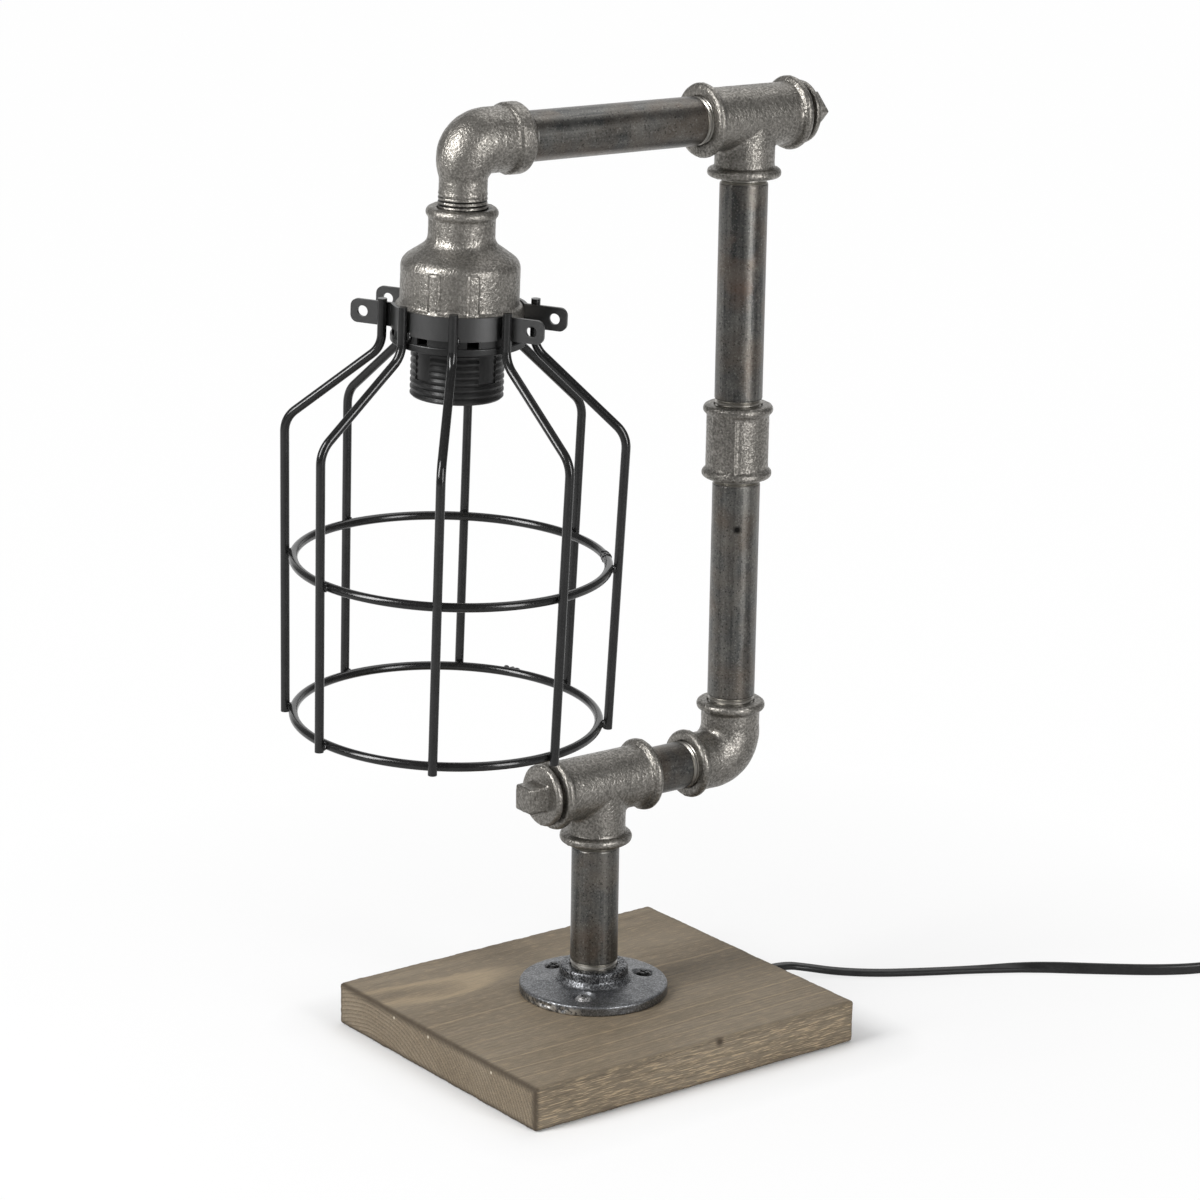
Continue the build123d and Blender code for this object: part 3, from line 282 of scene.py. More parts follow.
def make_camera():
    back = direction(camera_azimuth, camera_elevation)
    right = (-back).cross(Vector((0, 0, 1))).normalized()
    up = right.cross(-back)
    roll = math.radians(camera_roll)
    side = right * math.cos(roll) + up * math.sin(roll)
    top = up * math.cos(roll) - right * math.sin(roll)
    place = Matrix((side, top, back)).transposed().to_4x4()
    place.translation = Vector(camera_target) + back * camera_distance
    data = bpy.data.cameras.new("camera")
    data.lens = focal_length_mm
    data.sensor_width = sensor_mm
    camera = link(bpy.data.objects.new("camera", data))
    camera.matrix_world = place
    bpy.context.scene.camera = camera


def put(tree, made, name, value):
    """Sets a socket to a value, or links it to another node's output."""
    if isinstance(value, bpy.types.NodeSocket):
        tree.links.new(value, made.inputs[name])
    else:
        made.inputs[name].default_value = value


def add(tree, kind, sockets=None, **settings):
    """Adds a shader node with these settings and sockets."""
    made = tree.nodes.new("ShaderNode" + kind)
    for name, value in settings.items():
        setattr(made, name, value)
    for name, value in (sockets or {}).items():
        put(tree, made, name, value)
    return made


def calc(tree, operation, first, second=0.0):
    return add(tree, "Math", {0: first, 1: second}, operation=operation).outputs[0]


def calc_all(tree, operation, values):
    """One calculation carried through a list of values."""
    return reduce(lambda first, second: calc(tree, operation, first, second), values)


def calc_vector(tree, operation, first, second=(0, 0, 0)):
    """A vector calculation; a distance, a length or a dot product comes out as a number."""
    made = add(tree, "VectorMath", {0: first, 1: second}, operation=operation)
    gives_number = operation in ("DISTANCE", "LENGTH", "DOT_PRODUCT")
    return made.outputs["Value" if gives_number else "Vector"]


def distance_from(tree, value, middle):
    """How far a value lies from a middle, on either side of it."""
    return calc(tree, "ABSOLUTE", calc(tree, "SUBTRACT", value, middle))


def phase(tree, value, period):
    """How far a value is through its period, from 0 to 1."""
    return calc(tree, "FRACT", calc(tree, "DIVIDE", value, period))


def spread(tree, value, low, high, at_low=0.0, at_high=1.0):
    """Goes from at_low to at_high as a value goes from low to high, and holds there outside."""
    sockets = {0: value, 1: low, 2: high, 3: at_low, 4: at_high}
    return add(tree, "MapRange", sockets).outputs[0]


def either(tree, where, off, on):
    """One number where a mask is 0, and another where it is 1."""
    return spread(tree, where, 0, 1, at_low=off, at_high=on)


def here(tree):
    """The place of a point, in the frame's own metres."""
    return add(tree, "TexCoord").outputs["Object"]


def along_axis(tree, axis):
    """How far along one axis a point lies."""
    return add(tree, "SeparateXYZ", {0: here(tree)}).outputs[axis]


def near(tree, place, reach_mm, fade_mm):
    """1 within reach_mm of a point, falling to 0 over fade_mm more."""
    away = calc_vector(tree, "DISTANCE", here(tree), place)
    return spread(tree, away, reach_mm * MM, (reach_mm + fade_mm) * MM, at_low=1.0, at_high=0.0)


def mottle(tree, size_mm, stretch=(1, 1, 1), detail=3.0, rough=0.55, bend=0.0):
    """Noise whose lumps are about size_mm across, longer along a stretched axis."""
    scale = [1 / (size_mm * MM * along) for along in stretch]
    mapped = add(tree, "Mapping", {"Vector": here(tree), "Scale": scale}).outputs[0]
    sockets = {"Vector": mapped, "Scale": 1.0, "Detail": detail, "Roughness": rough, "Distortion": bend}
    return add(tree, "TexNoise", sockets).outputs[0]


def grey(value):
    return (value, value, value, 1.0)


def blend_colours(tree, share, first, second):
    """Blends two colours, which are inputs 6 and 7 of a Mix node, and its output 2."""
    made = add(tree, "Mix", {0: share, 6: first, 7: second}, data_type="RGBA")
    return made.outputs[2]


def vary(tree, pattern, first, second):
    """Blends two tones by noise."""
    return blend_colours(tree, spread(tree, pattern, *most_noise), first, second)


def lay(tree, base, tone, pattern, start, full, most=1.0):
    """Lays a tone over the base as noise goes from start to full, at most this strongly."""
    return blend_colours(tree, spread(tree, pattern, start, full, at_high=most), base, tone)


def tint(tree, base, tone, where, amount):
    """Lays a tone over the base where a mask is 1, this strongly."""
    return blend_colours(tree, calc(tree, "MULTIPLY", where, amount), base, tone)


def spot(tree, base, tone, place, reach_mm, fade_mm):
    """Lays a tone over the base round a point."""
    return blend_colours(tree, near(tree, place, reach_mm, fade_mm), base, tone)


def bumps(tree, *layers):
    """Stacks bump nodes; a layer is a height and its depth in millimetres."""
    normal = None
    for height, depth_mm in layers:
        sockets = {"Height": height, "Distance": depth_mm * MM, "Strength": 1.0}
        if normal is not None:
            sockets["Normal"] = normal
        normal = add(tree, "Bump", sockets).outputs[0]
    return normal


def new_material(name, **sockets):
    """A Principled material; plain numbers are set straight on its sockets."""
    made = bpy.data.materials.new(name)
    made.use_nodes = True
    tree = made.node_tree
    shader = tree.nodes["Principled BSDF"]
    for key, value in sockets.items():
        shader.inputs[key.replace("_", " ")].default_value = value
    return made, tree, shader


def set_surface(tree, shader, base, rough, *layers):
    """Gives a shader its colour, its roughness and its layers of bumps."""
    put(tree, shader, "Base Color", base)
    put(tree, shader, "Roughness", rough)
    put(tree, shader, "Normal", bumps(tree, *layers))


def middle_and_half(node, axis):
    """Where a node's middle lies along an axis, and half its length there."""
    low, high = (corner[axis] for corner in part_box(node))
    return (low + high) / 2, (high - low) / 2


def painted_thread_shade(tree):
    """1 in the grooves of the street elbow's bare thread, where painted shade darkens them, and 0
    elsewhere.
    """
    turn = phase(tree, calc(tree, "SUBTRACT", along_axis(tree, Z), thread_crest), thread_pitch)
    from_middle = distance_from(tree, turn, 0.5)
    groove = spread(tree, from_middle, *groove_shade_fade, at_low=1.0, at_high=0.0)
    return calc(tree, "MULTIPLY", groove, near(tree, elbow_thread, reach_mm=12, fade_mm=0.2))


def cast_iron():
    """Oiled sand-cast iron: grey-brown, grainy, with sparkle on the grains, and painted shade in the
    grooves of the street elbow's thread.
    """
    made, tree, shader = new_material("cast_iron", Metallic=0.92)
    broad = mottle(tree, size_mm=12)
    dents = mottle(tree, size_mm=2.4, detail=2)
    grains = mottle(tree, size_mm=1.0, detail=2, rough=0.6, bend=0.4)
    dark = vary(tree, broad, *cast_dark)
    pale = vary(tree, broad, *cast_pale)
    base = lay(tree, dark, pale, grains, start=0.40, full=0.66)
    # Painted shade darkens the grooves of the street elbow's thread
    base = blend_colours(tree, painted_thread_shade(tree), base, groove_shade_tone)
    rough = spread(tree, grains, *most_noise, at_low=0.50, at_high=0.31)
    set_surface(tree, shader, base, rough, (dents, 0.20), (grains, 0.26))
    return made


def ends_of_pipe(tree, node, axis):
    """1 on the bare threads at both ends of a pipe, and 0 between them."""
    middle, half = middle_and_half(node, axis)
    away = distance_from(tree, along_axis(tree, axis), middle)
    edge = half - bare_thread
    return spread(tree, away, edge - mask_edge, edge + mask_edge)


def rusted(tree, base, clouds):
    """The base with clouded red marks at the rusty places."""
    for place in pipe_rust:
        cloud = spread(tree, clouds, 0.42, 0.60)
        patch = calc(tree, "MULTIPLY", near(tree, place, reach_mm=2, fade_mm=9), cloud)
        base = tint(tree, base, pipe_red, patch, rust_share)
    return base


def mill_scale(node, axis):
    """Dark mill scale: clouded, scored along the pipe, a little rusty, and gone from its threads."""
    made, tree, shader = new_material("mill_scale_" + node, Metallic=1.0)
    stretch = [1.0, 1.0, 1.0]
    stretch[axis] = score_stretch
    scores = mottle(tree, size_mm=2.4, stretch=stretch, rough=0.6)
    clouds = mottle(tree, size_mm=16, detail=5, rough=0.6)
    warmth = mottle(tree, size_mm=22)
    specks = mottle(tree, size_mm=0.85, detail=2, rough=0.6)
    base = blend_colours(tree, spread(tree, scores, 0.36, 0.64), *pipe_tones)
    base = lay(tree, base, pipe_warm, warmth, start=0.46, full=0.64, most=0.8)
    base = lay(tree, base, pipe_cloud, clouds, start=0.46, full=0.70, most=0.6)
    base = lay(tree, base, pipe_speck, specks, start=0.58, full=0.70, most=0.7)
    base = lay(tree, base, pipe_pit, specks, start=0.42, full=0.30, most=0.8)
    base = rusted(tree, base, clouds)
    base = spot(tree, base, pipe_black, pipe_blemish, reach_mm=0.9, fade_mm=1.3)
    base = blend_colours(tree, ends_of_pipe(tree, node, axis), base, pipe_bare)
    rough = spread(tree, clouds, *all_noise, at_low=0.30, at_high=0.44)
    set_surface(tree, shader, base, rough, (clouds, 0.08), (scores, 0.03), (specks, 0.06))
    return made


def plated(name, tones, least_rough, most_rough):
    """Plated or turned metal, faintly marked, and dull in patches."""
    dull, bright = tones
    made, tree, shader = new_material(name, Metallic=1.0)
    marks = mottle(tree, size_mm=0.7)
    clouds = mottle(tree, size_mm=4)
    base = vary(tree, marks, dull, bright)
    base = lay(tree, base, dull, clouds, start=0.55, full=0.75, most=0.5)
    rough = spread(tree, marks, *all_noise, at_low=least_rough, at_high=most_rough)
    set_surface(tree, shader, base, rough, (marks, 0.015))
    return made


def flange_screw_steel():
    """The flange's screws: the front one is bright, and the other two are painted near black as shade."""
    made, tree, shader = new_material("flange_screw_steel", Metallic=1.0)
    marks = mottle(tree, size_mm=0.6)
    share = spread(tree, marks, 0.40, 0.60)
    bright = blend_colours(tree, share, *bright_screw)
    # The two screws away from the front get painted shade
    painted_shade = blend_colours(tree, share, *screw_shade_tones)
    base = spot(tree, painted_shade, bright, front_screw, reach_mm=12, fade_mm=1)
    rough = spread(tree, marks, *all_noise, at_low=0.20, at_high=0.40)
    set_surface(tree, shader, base, rough, (marks, 0.08))
    return made


def flange_pits(tree, grains):
    """The pits in the flange's skin, darkest round its hub."""
    flange_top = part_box("floor_flange")[1][Z]
    hub = near(tree, (0.0, 0.0, flange_top), reach_mm=15, fade_mm=6)
    pits = spread(tree, grains, 0.56, 0.46)
    return calc(tree, "MULTIPLY", pits, either(tree, hub, off=0.30, on=0.95))


def flange_knocks(tree, dents):
    """The places on the flange's rim that are knocked bright."""
    knocked = near(tree, flange_knock, reach_mm=13, fade_mm=6)
    knocks = calc(tree, "MULTIPLY", knocked, spread(tree, dents, 0.47, 0.55))
    low = spread(tree, along_axis(tree, Z), *flange_bright_below, at_low=1.0, at_high=0.0)
    return calc(tree, "MULTIPLY", knocks, low)


def flange_iron():
    """Blue-grey cast flange, pitted round its hub, with bright metal where its rim is knocked."""
    made, tree, shader = new_material("flange_iron", Metallic=1.0)
    broad = mottle(tree, size_mm=9, detail=4)
    dents = mottle(tree, size_mm=1.9, detail=2)
    grains = mottle(tree, size_mm=0.8, rough=0.65)
    base = vary(tree, broad, *flange_tones)
    base = lay(tree, base, flange_grain, grains, start=0.50, full=0.72, most=0.6)
    base = blend_colours(tree, flange_pits(tree, grains), base, flange_pit)
    base = blend_colours(tree, flange_knocks(tree, dents), base, flange_bright)
    rough = spread(tree, grains, *all_noise, at_low=0.50, at_high=0.34)
    set_surface(tree, shader, base, rough, (broad, 0.12), (dents, 0.10), (grains, 0.09))
    return made


def edge_of_board(tree):
    """1 at the board's edges and corners, falling to 0 about 3 mm in from them."""
    insets = []
    for axis in (X, Y, Z):
        middle, half = middle_and_half("base_board", axis)
        away = distance_from(tree, along_axis(tree, axis), middle)
        insets.append(calc(tree, "SUBTRACT", half, away))
    least, most, total = (calc_all(tree, kind, insets) for kind in ("MINIMUM", "MAXIMUM", "ADD"))
    second = calc(tree, "SUBTRACT", calc(tree, "SUBTRACT", total, least), most)
    return spread(tree, second, *edge_shade_reach, at_low=1.0, at_high=0.0)


def from_heart(tree):
    """How far a point lies from the tree's heart, which runs along the board, with a slow sway."""
    across = calc_vector(tree, "MULTIPLY", here(tree), (0.0, 1.0, 1.0))
    away = calc_vector(tree, "DISTANCE", across, wood_heart)
    sway = mottle(tree, size_mm=60, stretch=(3.0, 1.0, 1.0), detail=2)
    return calc(tree, "ADD", away, calc(tree, "MULTIPLY", sway, wood_sway))


def growth(tree):
    """Masks of the wood's rings, its broad bands and its thin pale lines."""
    heart = from_heart(tree)
    ring = calc(tree, "POWER", phase(tree, heart, wood_ring), 2.0)
    sockets = {"W": calc(tree, "DIVIDE", heart, wood_band), "Scale": 1.0, "Detail": 1.0}
    year = add(tree, "TexNoise", sockets, noise_dimensions="1D").outputs[0]
    band = spread(tree, year, 0.50, 0.36)
    late = distance_from(tree, phase(tree, heart, wood_line), 0.5)
    seen = spread(tree, year, 0.38, 0.56, at_low=0.2, at_high=1.0)
    line = calc(tree, "MULTIPLY", spread(tree, late, *wood_line_fade), seen)
    return ring, band, line


def ends_and_sides(tree):
    """Masks of the board's short ends and of its long sides."""
    normal = add(tree, "NewGeometry").outputs["Normal"]
    facing = add(tree, "SeparateXYZ", {0: calc_vector(tree, "ABSOLUTE", normal)}).outputs
    return spread(tree, facing["X"], *facing_edge), spread(tree, facing["Y"], *facing_edge)


def wood_wear_and_edge_shade(tree, base, tones):
    """The base with painted shade along its edges, most at the board's left end, with its pale chips and
    its knot.
    """
    edge_shade_ends = [board_box[0][X] + inset for inset in end_shade_reach]
    worn = spread(tree, along_axis(tree, X), *edge_shade_ends, at_low=0.95, at_high=0.30)
    # Painted shade along the board's edges, strongest at its left end
    base = tint(tree, base, tones["stain_and_edge_shade"], edge_of_board(tree), worn)
    for place in board_chips:
        base = spot(tree, base, chip_tone, place, reach_mm=0.2, fade_mm=0.7)
    return spot(tree, base, tones["stain_and_edge_shade"], wood_knot, reach_mm=0.8, fade_mm=2.2)


def wood(name, tones):
    """Pine with growth rings about a heart below the board and fibres along it, stained or bare."""
    made, tree, shader = new_material(name, IOR=1.45, Specular_IOR_Level=0.3)
    ring, band, line = growth(tree)
    end, side = ends_and_sides(tree)
    fibres = mottle(tree, size_mm=0.48, stretch=(34.0, 1.0, 1.0), rough=0.7)
    pores = mottle(tree, size_mm=0.40, stretch=(18.0, 1.0, 1.0), detail=2, rough=0.6)
    clouds = mottle(tree, size_mm=24, stretch=(3.0, 1.0, 1.0), detail=4)
    base = vary(tree, clouds, tones["deep"], tones["plain"])
    base = tint(tree, base, tones["deep"], band, 0.45)
    base = tint(tree, base, tones["stain_and_edge_shade"], ring, either(tree, end, off=0.22, on=0.80))
    base = tint(tree, base, tones["pale"], line, either(tree, end, off=0.42, on=0.12))
    dark = spread(tree, fibres, 0.54, 0.30)
    base = tint(tree, base, tones["stain_and_edge_shade"], dark, either(tree, side, off=0.48, on=0.75))
    light = spread(tree, pores, 0.52, 0.66)
    base = tint(tree, base, tones["pale"], light, either(tree, side, off=0.40, on=0.85))
    base = wood_wear_and_edge_shade(tree, base, tones)
    rough = spread(tree, fibres, *all_noise, at_low=0.50, at_high=0.68)
    set_surface(tree, shader, base, rough, (ring, 0.03), (fibres, 0.08), (pores, 0.05))
    return made


def black_skin(name, tone, least_rough, grain_depth_mm, grain_mm=0.9, shine=0.5):
    """Black enamel, plastic or rubber: a soft shine, slightly uneven, with a fine grain."""
    made, tree, shader = new_material(name, IOR=1.5, Specular_IOR_Level=shine)
    grain = mottle(tree, grain_mm, detail=2)
    clouds = mottle(tree, size_mm=6)
    base = vary(tree, clouds, grey(tone), grey(tone * cloud_lift))
    base = lay(tree, base, grey(tone * grain_lift), grain, start=0.55, full=0.75, most=0.5)
    rough = spread(tree, grain, *all_noise, at_low=least_rough, at_high=least_rough + rough_range)
    set_surface(tree, shader, base, rough, (clouds, 0.02), (grain, grain_depth_mm))
    return made


def ceramic():
    """Cream glazed ceramic with faint specks."""
    made, tree, shader = new_material("ceramic", IOR=1.5)
    clouds = mottle(tree, size_mm=7)
    specks = mottle(tree, size_mm=0.6, detail=1)
    base = vary(tree, clouds, *glaze_tones)
    base = lay(tree, base, glaze_speck, specks, start=0.68, full=0.76, most=0.6)
    rough = spread(tree, clouds, *all_noise, at_low=0.22, at_high=0.36)
    set_surface(tree, shader, base, rough, (clouds, 0.05))
    return made


def pin_metal():
    """Nickel-plated pins, in black sleeves for the half next to the plug."""
    made, tree, shader = new_material("pin_metal")
    bare_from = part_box("plug_pins")[1][Y] - pin_bare
    tip = spread(tree, along_axis(tree, Y), bare_from - mask_edge, bare_from)
    marks = mottle(tree, size_mm=0.5)
    base = blend_colours(tree, tip, pin_sleeve, vary(tree, marks, *nickel_tones))
    put(tree, shader, "Metallic", tip)
    rough = spread(tree, marks, *all_noise, at_low=0.18, at_high=0.34)
    set_surface(tree, shader, base, rough, (marks, 0.01))
    return made


def behind_object():
    """The level direction from the camera to the object."""
    return -direction(camera_azimuth, 0)


def mirrored_rays(tree):
    """1 for a ray that comes off or through a surface, and the outputs for every kind of ray."""
    rays = add(tree, "LightPath").outputs
    return calc(tree, "MAXIMUM", rays["Is Glossy Ray"], rays["Is Transmission Ray"]), rays


def make_world():
    """White to the camera; to the object a dim room with a white backdrop behind it."""
    world = bpy.data.worlds.new("studio")
    bpy.context.scene.world = world
    world.use_nodes = True
    tree = world.node_tree
    ray = add(tree, "TexCoord").outputs["Generated"]
    facing = calc_vector(tree, "DOT_PRODUCT", ray, behind_object())
    reflected = blend_colours(tree, spread(tree, facing, *backdrop_edge), grey(room_grey), white)
    mirrored, rays = mirrored_rays(tree)
    room = blend_colours(tree, mirrored, grey(ambient_grey), reflected)
    background = tree.nodes["Background"]
    put(tree, background, "Color", blend_colours(tree, rays["Is Camera Ray"], room, white))
    put(tree, background, "Strength", 1.0)


def away_from_board(tree):
    """How far a point of the floor lies outside the board's outline."""
    sizes = [middle_and_half("base_board", axis) for axis in (X, Y, Z)]
    middle = [size[0] for size in sizes]
    half = [size[1] for size in sizes]
    away = calc_vector(tree, "ABSOLUTE", calc_vector(tree, "SUBTRACT", here(tree), middle))
    outside = calc_vector(tree, "MAXIMUM", calc_vector(tree, "SUBTRACT", away, half), (0, 0, 0))
    return calc_vector(tree, "LENGTH", calc_vector(tree, "MULTIPLY", outside, (1, 1, 0)))


def floor_material():
    """Pale floor, white to the camera away from the board, and to mirrored rays behind the object."""
    made, tree, shader = new_material("floor", Roughness=0.7, Specular_IOR_Level=0.2)
    ahead = calc_vector(tree, "DOT_PRODUCT", here(tree), behind_object())
    back = spread(tree, ahead, *floor_behind)
    mirrored, rays = mirrored_rays(tree)
    front = calc(tree, "MULTIPLY", mirrored, calc(tree, "SUBTRACT", 1.0, back))
    base = blend_colours(tree, front, grey(floor_grey), grey(mirrored_floor_grey))
    put(tree, shader, "Base Color", base)
    away = away_from_board(tree)
    glowing = calc(tree, "ADD", spread(tree, away, *glow_edge), spread(tree, away, *glow_rest))
    seen = calc(tree, "MULTIPLY", rays["Is Camera Ray"], glowing)
    share = calc(tree, "ADD", seen, calc(tree, "MULTIPLY", mirrored, back))
    glow = add(tree, "Emission", {"Color": white})
    both = add(tree, "MixShader", {0: share, 1: shader.outputs[0], 2: glow.outputs[0]})
    put(tree, tree.nodes["Material Output"], "Surface", both.outputs[0])
    return made


def make_floor():
    half = floor_width / 2
    corners = [(-half, -half), (half, -half), (half, half), (-half, half)]
    data = bpy.data.meshes.new("floor")
    data.from_pydata([(x, y, -floor_drop) for x, y in corners], [], [(0, 1, 2, 3)])
    data.materials.append(floor_material())
    link(bpy.data.objects.new("floor", data))


def softbox(name, turn, rise, distance, width, height, watts):
    """A lamp turned to the right of the camera and raised, facing the middle of the object."""
    back = direction(camera_azimuth + turn, rise)
    data = bpy.data.lights.new(name, "AREA")
    data.shape = "RECTANGLE"
    data.size = width
    data.size_y = height
    data.energy = watts
    lamp = link(bpy.data.objects.new(name, data))
    lamp.location = Vector(lamps_aim) + back * distance
    lamp.rotation_mode = "QUATERNION"
    lamp.rotation_quaternion = back.to_track_quat("Z", "Y")


def make_lights():
    softbox("left_softbox", turn=-58, rise=32, distance=1.6, width=0.5, height=1.2, watts=30)
    softbox("right_softbox", turn=44, rise=16, distance=1.7, width=0.45, height=1.2, watts=17)
    softbox("top_softbox", turn=150, rise=62, distance=2.2, width=1.6, height=1.2, watts=10)


def coil_points():
    """Points of the coil: half circles that go inwards on the floor and outwards on top."""
    inner = coil_outer - coil_half_turns * coil_pitch / 2
    place = -coil_outer
    points = []
    for turn in range(2 * coil_half_turns + 1):
        side = 1 if turn % 2 else -1
        radius = inner + abs(turn - coil_half_turns) * coil_pitch / 2
        centre = place - side * radius
        last = turn == 2 * coil_half_turns
        for step in range(coil_points_per_half_turn // (2 if last else 1)):
            share = step / coil_points_per_half_turn
            angle = math.radians(90 * side + 180 * share)
            rise = min(max(turn + share - coil_half_turns, 0), 1)
            points.append((coil_centre[0] + radius * math.cos(angle),
                           coil_centre[1] + centre + radius * math.sin(angle),
                           coil_low_z + rise * coil_pitch))
        place = centre - side * radius
    return points


def cord_outline():
    """The flat twin cord's outline: two round sides, with a dip between them above and below."""
    round_radius = cord_thick / 2
    reach = cord_width / 2 - round_radius
    corners = []
    for side in (1, -1):
        for step in range(cord_side_points):
            angle = math.radians(-90 + 180 * step / (cord_side_points - 1))
            across = reach + round_radius * math.cos(angle)
            corners.append((side * across, side * round_radius * math.sin(angle)))
        corners.append((0, side * round_radius * cord_dip))
    return corners


def cord_profile():
    """The outline as a curve, drawn along the cord and hidden itself."""
    corners = cord_outline()
    data = bpy.data.curves.new("cord_profile", "CURVE")
    data.dimensions = "2D"
    outline = data.splines.new("POLY")
    outline.points.add(len(corners) - 1)
    for point, (x, y) in zip(outline.points, corners):
        point.co = (x, y, 0, 1)
    outline.use_cyclic_u = True
    profile = link(bpy.data.objects.new("cord_profile", data))
    profile.hide_render = True
    profile.hide_viewport = True
    return profile


def cord_curve():
    """The cord's line, which turns on edge before the switch."""
    data = bpy.data.curves.new("cord", "CURVE")
    data.dimensions = "3D"
    data.twist_mode = "Z_UP"
    data.resolution_u = 10
    data.bevel_mode = "OBJECT"
    data.bevel_object = cord_profile()
    data.use_fill_caps = True
    route = lamp_side_route + plug_side_route + coil_points() + tail_route
    line = data.splines.new("NURBS")
    line.points.add(len(route) - 1)
    first, last = cord_turns_on_edge_at
    for index, (point, place) in enumerate(zip(line.points, route)):
        point.co = (*place, 1)
        share = min(max((index - first) / (last - first), 0), 1)
        point.tilt = math.radians(90 * share)
    line.order_u = 3
    line.use_endpoint_u = True
    return data


def make_cord(material):
    cord = link(bpy.data.objects.new("cord", cord_curve()))
    cord.data.materials.append(material)
    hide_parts("cord_lamp_side", "cord_plug_side", "cord_coil", "cord_tail")
    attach(cord, "stand")


def remade(node, name, voxel, soften):
    """A CAD node's mesh in even small faces with its edges eased."""
    piece = link(bpy.data.objects.new(name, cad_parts[node].data.copy()))
    even = piece.modifiers.new("even", "REMESH")
    even.mode = "VOXEL"
    even.voxel_size = voxel
    ease = piece.modifiers.new("ease", "SMOOTH")
    ease.factor = 0.5
    ease.iterations = soften
    graph = bpy.context.evaluated_depsgraph_get()
    mesh = bpy.data.meshes.new_from_object(piece.evaluated_get(graph))
    piece.modifiers.clear()
    piece.data = mesh
    mesh.materials.clear()
    mesh.shade_smooth()
    return piece


def shift_skin(mesh, shift):
    """Moves each point along its normal by shift(place, normal)."""
    moves = [point.normal * shift(point.co, point.normal) for point in mesh.vertices]
    for point, move in zip(mesh.vertices, moves):
        point.co += move


def waves(place, layers):
    """The sum of noise in layers, each with its size and its strength."""
    return sum(strength * noise.noise(place / size) for size, strength in layers)


def fading(distance, reach):
    """1 at no distance, falling to 0 at the reach."""
    return max(0.0, 1 - distance / reach)


def cast_skin(place, normal):
    """The uneven skin of a casting, with the seam of its mould in the plane Y = 0."""
    seam = fading(abs(place.y), seam_half_width) * (1 - abs(normal.y))
    return cast_wave * waves(place, cast_waves) + seam_rise * seam


def flange_skin(place, normal):
    """The flange's rough skin, its rim chipped most at the knocked place."""
    knocked = fading((place - Vector(flange_knock)).length, chip_reach)
    rim = fading(abs(place.z - flange_knock[Z]), chip_height)
    chip = max(0.0, noise.noise(place / chip_size) + chip_extra) * knocked * rim
    return flange_wave * waves(place, flange_waves) - chip_depth * chip


def board_skin(place, normal):
    """How far the board's edge is worn back here; its faces stay flat."""
    low, high = board_box
    insets = sorted(min(place[axis] - low[axis], high[axis] - place[axis]) for axis in (X, Y, Z))
    edge = fading(insets[1], board_wear_reach)
    dent = max(0.0, board_mean_dent + waves(place, board_dents))
    return -board_wear * edge * edge * dent


def stand_in(piece, node, body, material):
    """Puts a finished piece in its node's place."""
    piece.data.materials.append(material)
    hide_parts(node)
    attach(piece, body)


def make_castings():
    cast = cast_iron()
    for node, body, slot in castings:
        piece = remade(node, node + "_casting", cast_voxel, cast_soften)
        shift_skin(piece.data, cast_skin)
        stand_in(piece, node, body, cast)


def make_flange():
    piece = remade("floor_flange", "floor_flange_casting", cast_voxel, flange_soften)
    shift_skin(piece.data, flange_skin)
    stand_in(piece, "floor_flange", "stand", flange_iron())


def make_board():
    piece = remade("base_board", "worn_board", board_voxel, board_soften)
    shift_skin(piece.data, board_skin)
    stand_in(piece, "base_board", "stand", wood("stained_wood", stained_tones))


def surface_of(node):
    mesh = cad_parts[node].data
    places = [point.co.copy() for point in mesh.vertices]
    return bvhtree.BVHTree.FromPolygons(places, [list(face.vertices) for face in mesh.polygons])


def meeting_place(ring, wire):
    """The point halfway between a ring and a wire's surface where they come closest."""
    best = None
    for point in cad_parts[ring].data.vertices:
        place, _, _, away = wire.find_nearest(point.co)
        if best is None or away < best[0]:
            best = (away, (place + point.co) / 2)
    return best[1]


def lowest_touch(band, wire):
    """The lowest point of a band that lies against a wire, if they touch."""
    places = [point.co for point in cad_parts[band].data.vertices]
    touching = [place for place in places if wire.find_nearest(place)[3] < band_touch]
    return [min(touching, key=lambda place: place.z)] if touching else []


def add_lump(mesh, place, stretch):
    """Adds a lump of weld, drawn out by stretch and roughened."""
    before = len(mesh.verts)
    bmesh.ops.create_icosphere(mesh, subdivisions=3, radius=weld_radius)
    mesh.verts.ensure_lookup_table()
    for point in mesh.verts[before:]:
        swell = 1 + weld_rough / weld_radius * noise.noise((place + point.co) / weld_lump)
        point.co = place + Vector(part * swell * size for part, size in zip(point.co, stretch))


def add_welds(mesh):
    """Lumps where the wires cross the rings and end on the bands, and where the rings are closed."""
    for name in cage_wires:
        wire = surface_of(name)
        for ring in cage_rings:
            add_lump(mesh, meeting_place(ring, wire), ring_weld)
        for band in cage_bands:
            for place in lowest_touch(band, wire):
                add_lump(mesh, place, band_weld)
    for start, end in butt_welds:
        for share in (0, 0.5, 1):
            add_lump(mesh, Vector(start).lerp(Vector(end), share), butt_weld)


def make_welds(material):
    mesh = bmesh.new()
    add_welds(mesh)
    data = bpy.data.meshes.new("cage_welds")
    mesh.to_mesh(data)
    mesh.free()
    data.shade_smooth()
    data.materials.append(material)
    piece = link(bpy.data.objects.new("cage_welds", data))
    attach(piece, "head")


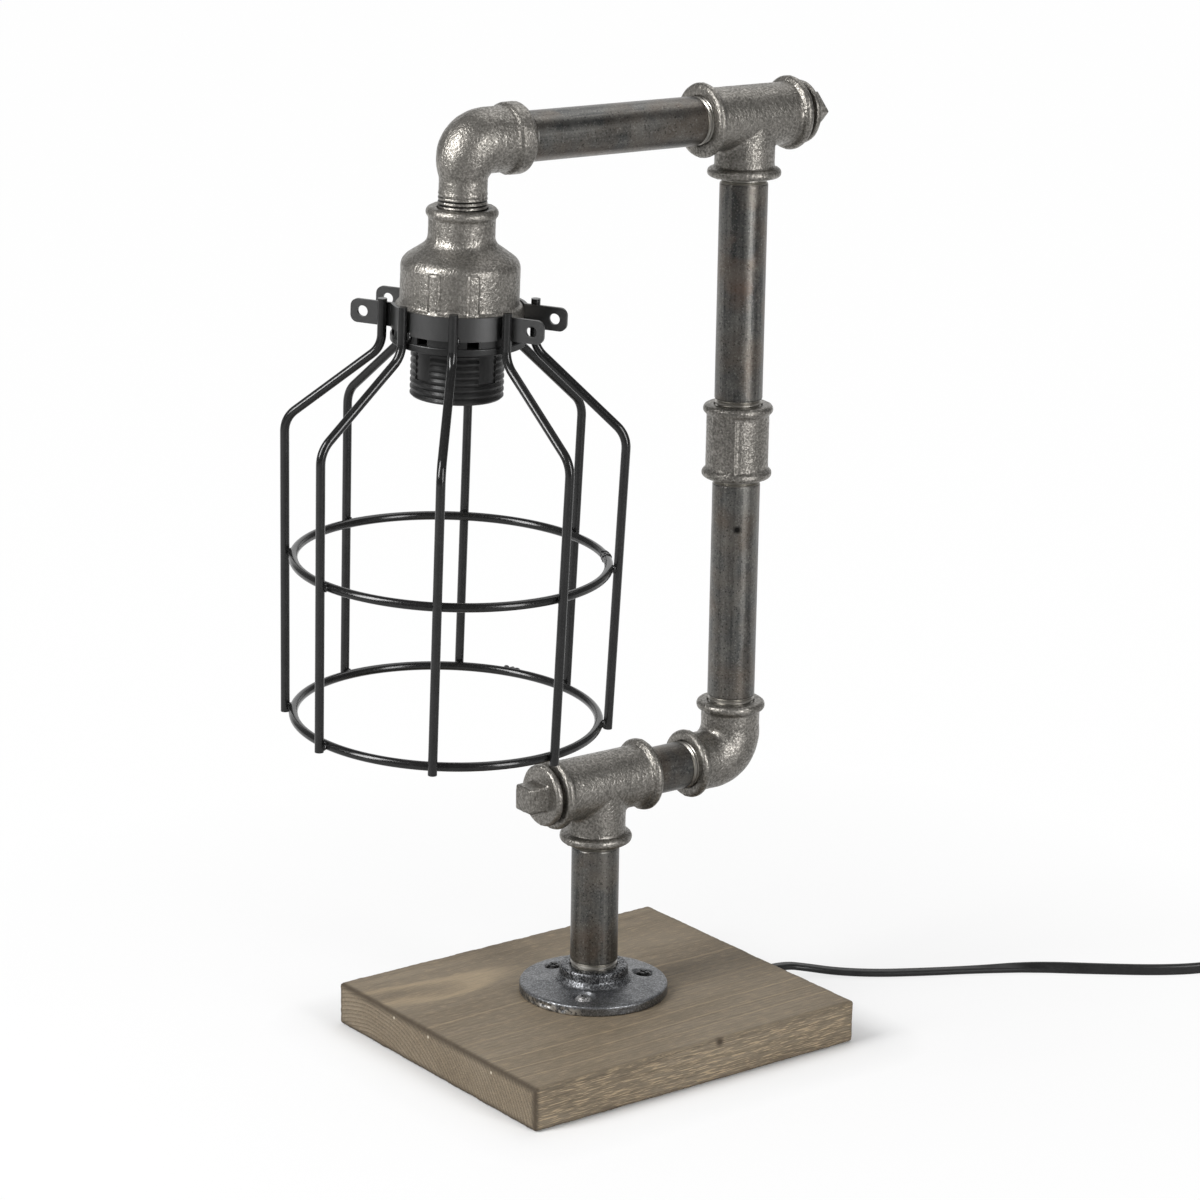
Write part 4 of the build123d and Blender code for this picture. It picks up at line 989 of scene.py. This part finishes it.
def dress(material, *names):
    """Gives CAD nodes this material."""
    for name in names:
        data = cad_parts[name].data
        data.materials.clear()
        data.materials.append(material)


def dress_pipes():
    for node, axis in pipes.items():
        dress(mill_scale(node, axis), node)


def dress_small_metal():
    zinc = plated("zinc", zinc_tones, least_rough=0.22, most_rough=0.36)
    brass = plated("brass", brass_tones, least_rough=0.18, most_rough=0.32)
    dress(zinc, "cover_screws", "anchor_screws", "switch_screws", "terminal_screws")
    dress(zinc, "nipple_nut", "cord_anchor")
    dress(brass, "switch_contacts", "screw_shell", "centre_contact", "side_contact")
    dress(brass, "entry_nipple", "entry_bush")
    dress(flange_screw_steel(), "flange_screws")
    dress(pin_metal(), "plug_pins")


def dress_cage():
    enamel = black_skin("cage_enamel", tone=0.006, least_rough=0.12, grain_depth_mm=0.004)
    band = black_skin("band_enamel", tone=0.007, least_rough=0.30, grain_depth_mm=0.020,
                      grain_mm=0.6, shine=1.0)
    dress(enamel, *cage_rings, *cage_wires)
    dress(band, *cage_bands)
    make_welds(enamel)


def dress_holder():
    holder = black_skin("holder_plastic", tone=0.007, least_rough=0.30, grain_depth_mm=0.012, shine=0.40)
    dress(holder, "holder_cap", "holder_skirt", "shade_ring")
    dress(ceramic(), "holder_core")


def dress_handled_pieces():
    handled = black_skin("switch_plastic", tone=0.012, least_rough=0.34, grain_depth_mm=0.02,
                         grain_mm=0.5, shine=0.4)
    dress(handled, "switch_base", "switch_cover", "switch_rocker", "plug_case", "cord_boot")


def cord_rubber():
    """The flex's rubber, on the leads inside and on the cord."""
    rubber = black_skin("cord_rubber", tone=0.007, least_rough=0.30, grain_depth_mm=0.01, shine=0.38)
    dress(rubber, "stand_lead", "arm_lead", "head_lead")
    return rubber


bpy.context.scene.view_settings.view_transform = "Standard"
make_camera()
make_world()
make_floor()
make_lights()
dress_pipes()
dress_small_metal()
dress_cage()
dress_holder()
dress_handled_pieces()
dress(wood("bare_wood", bare_tones), "groove_cover")
make_castings()
make_flange()
make_board()
make_cord(cord_rubber())
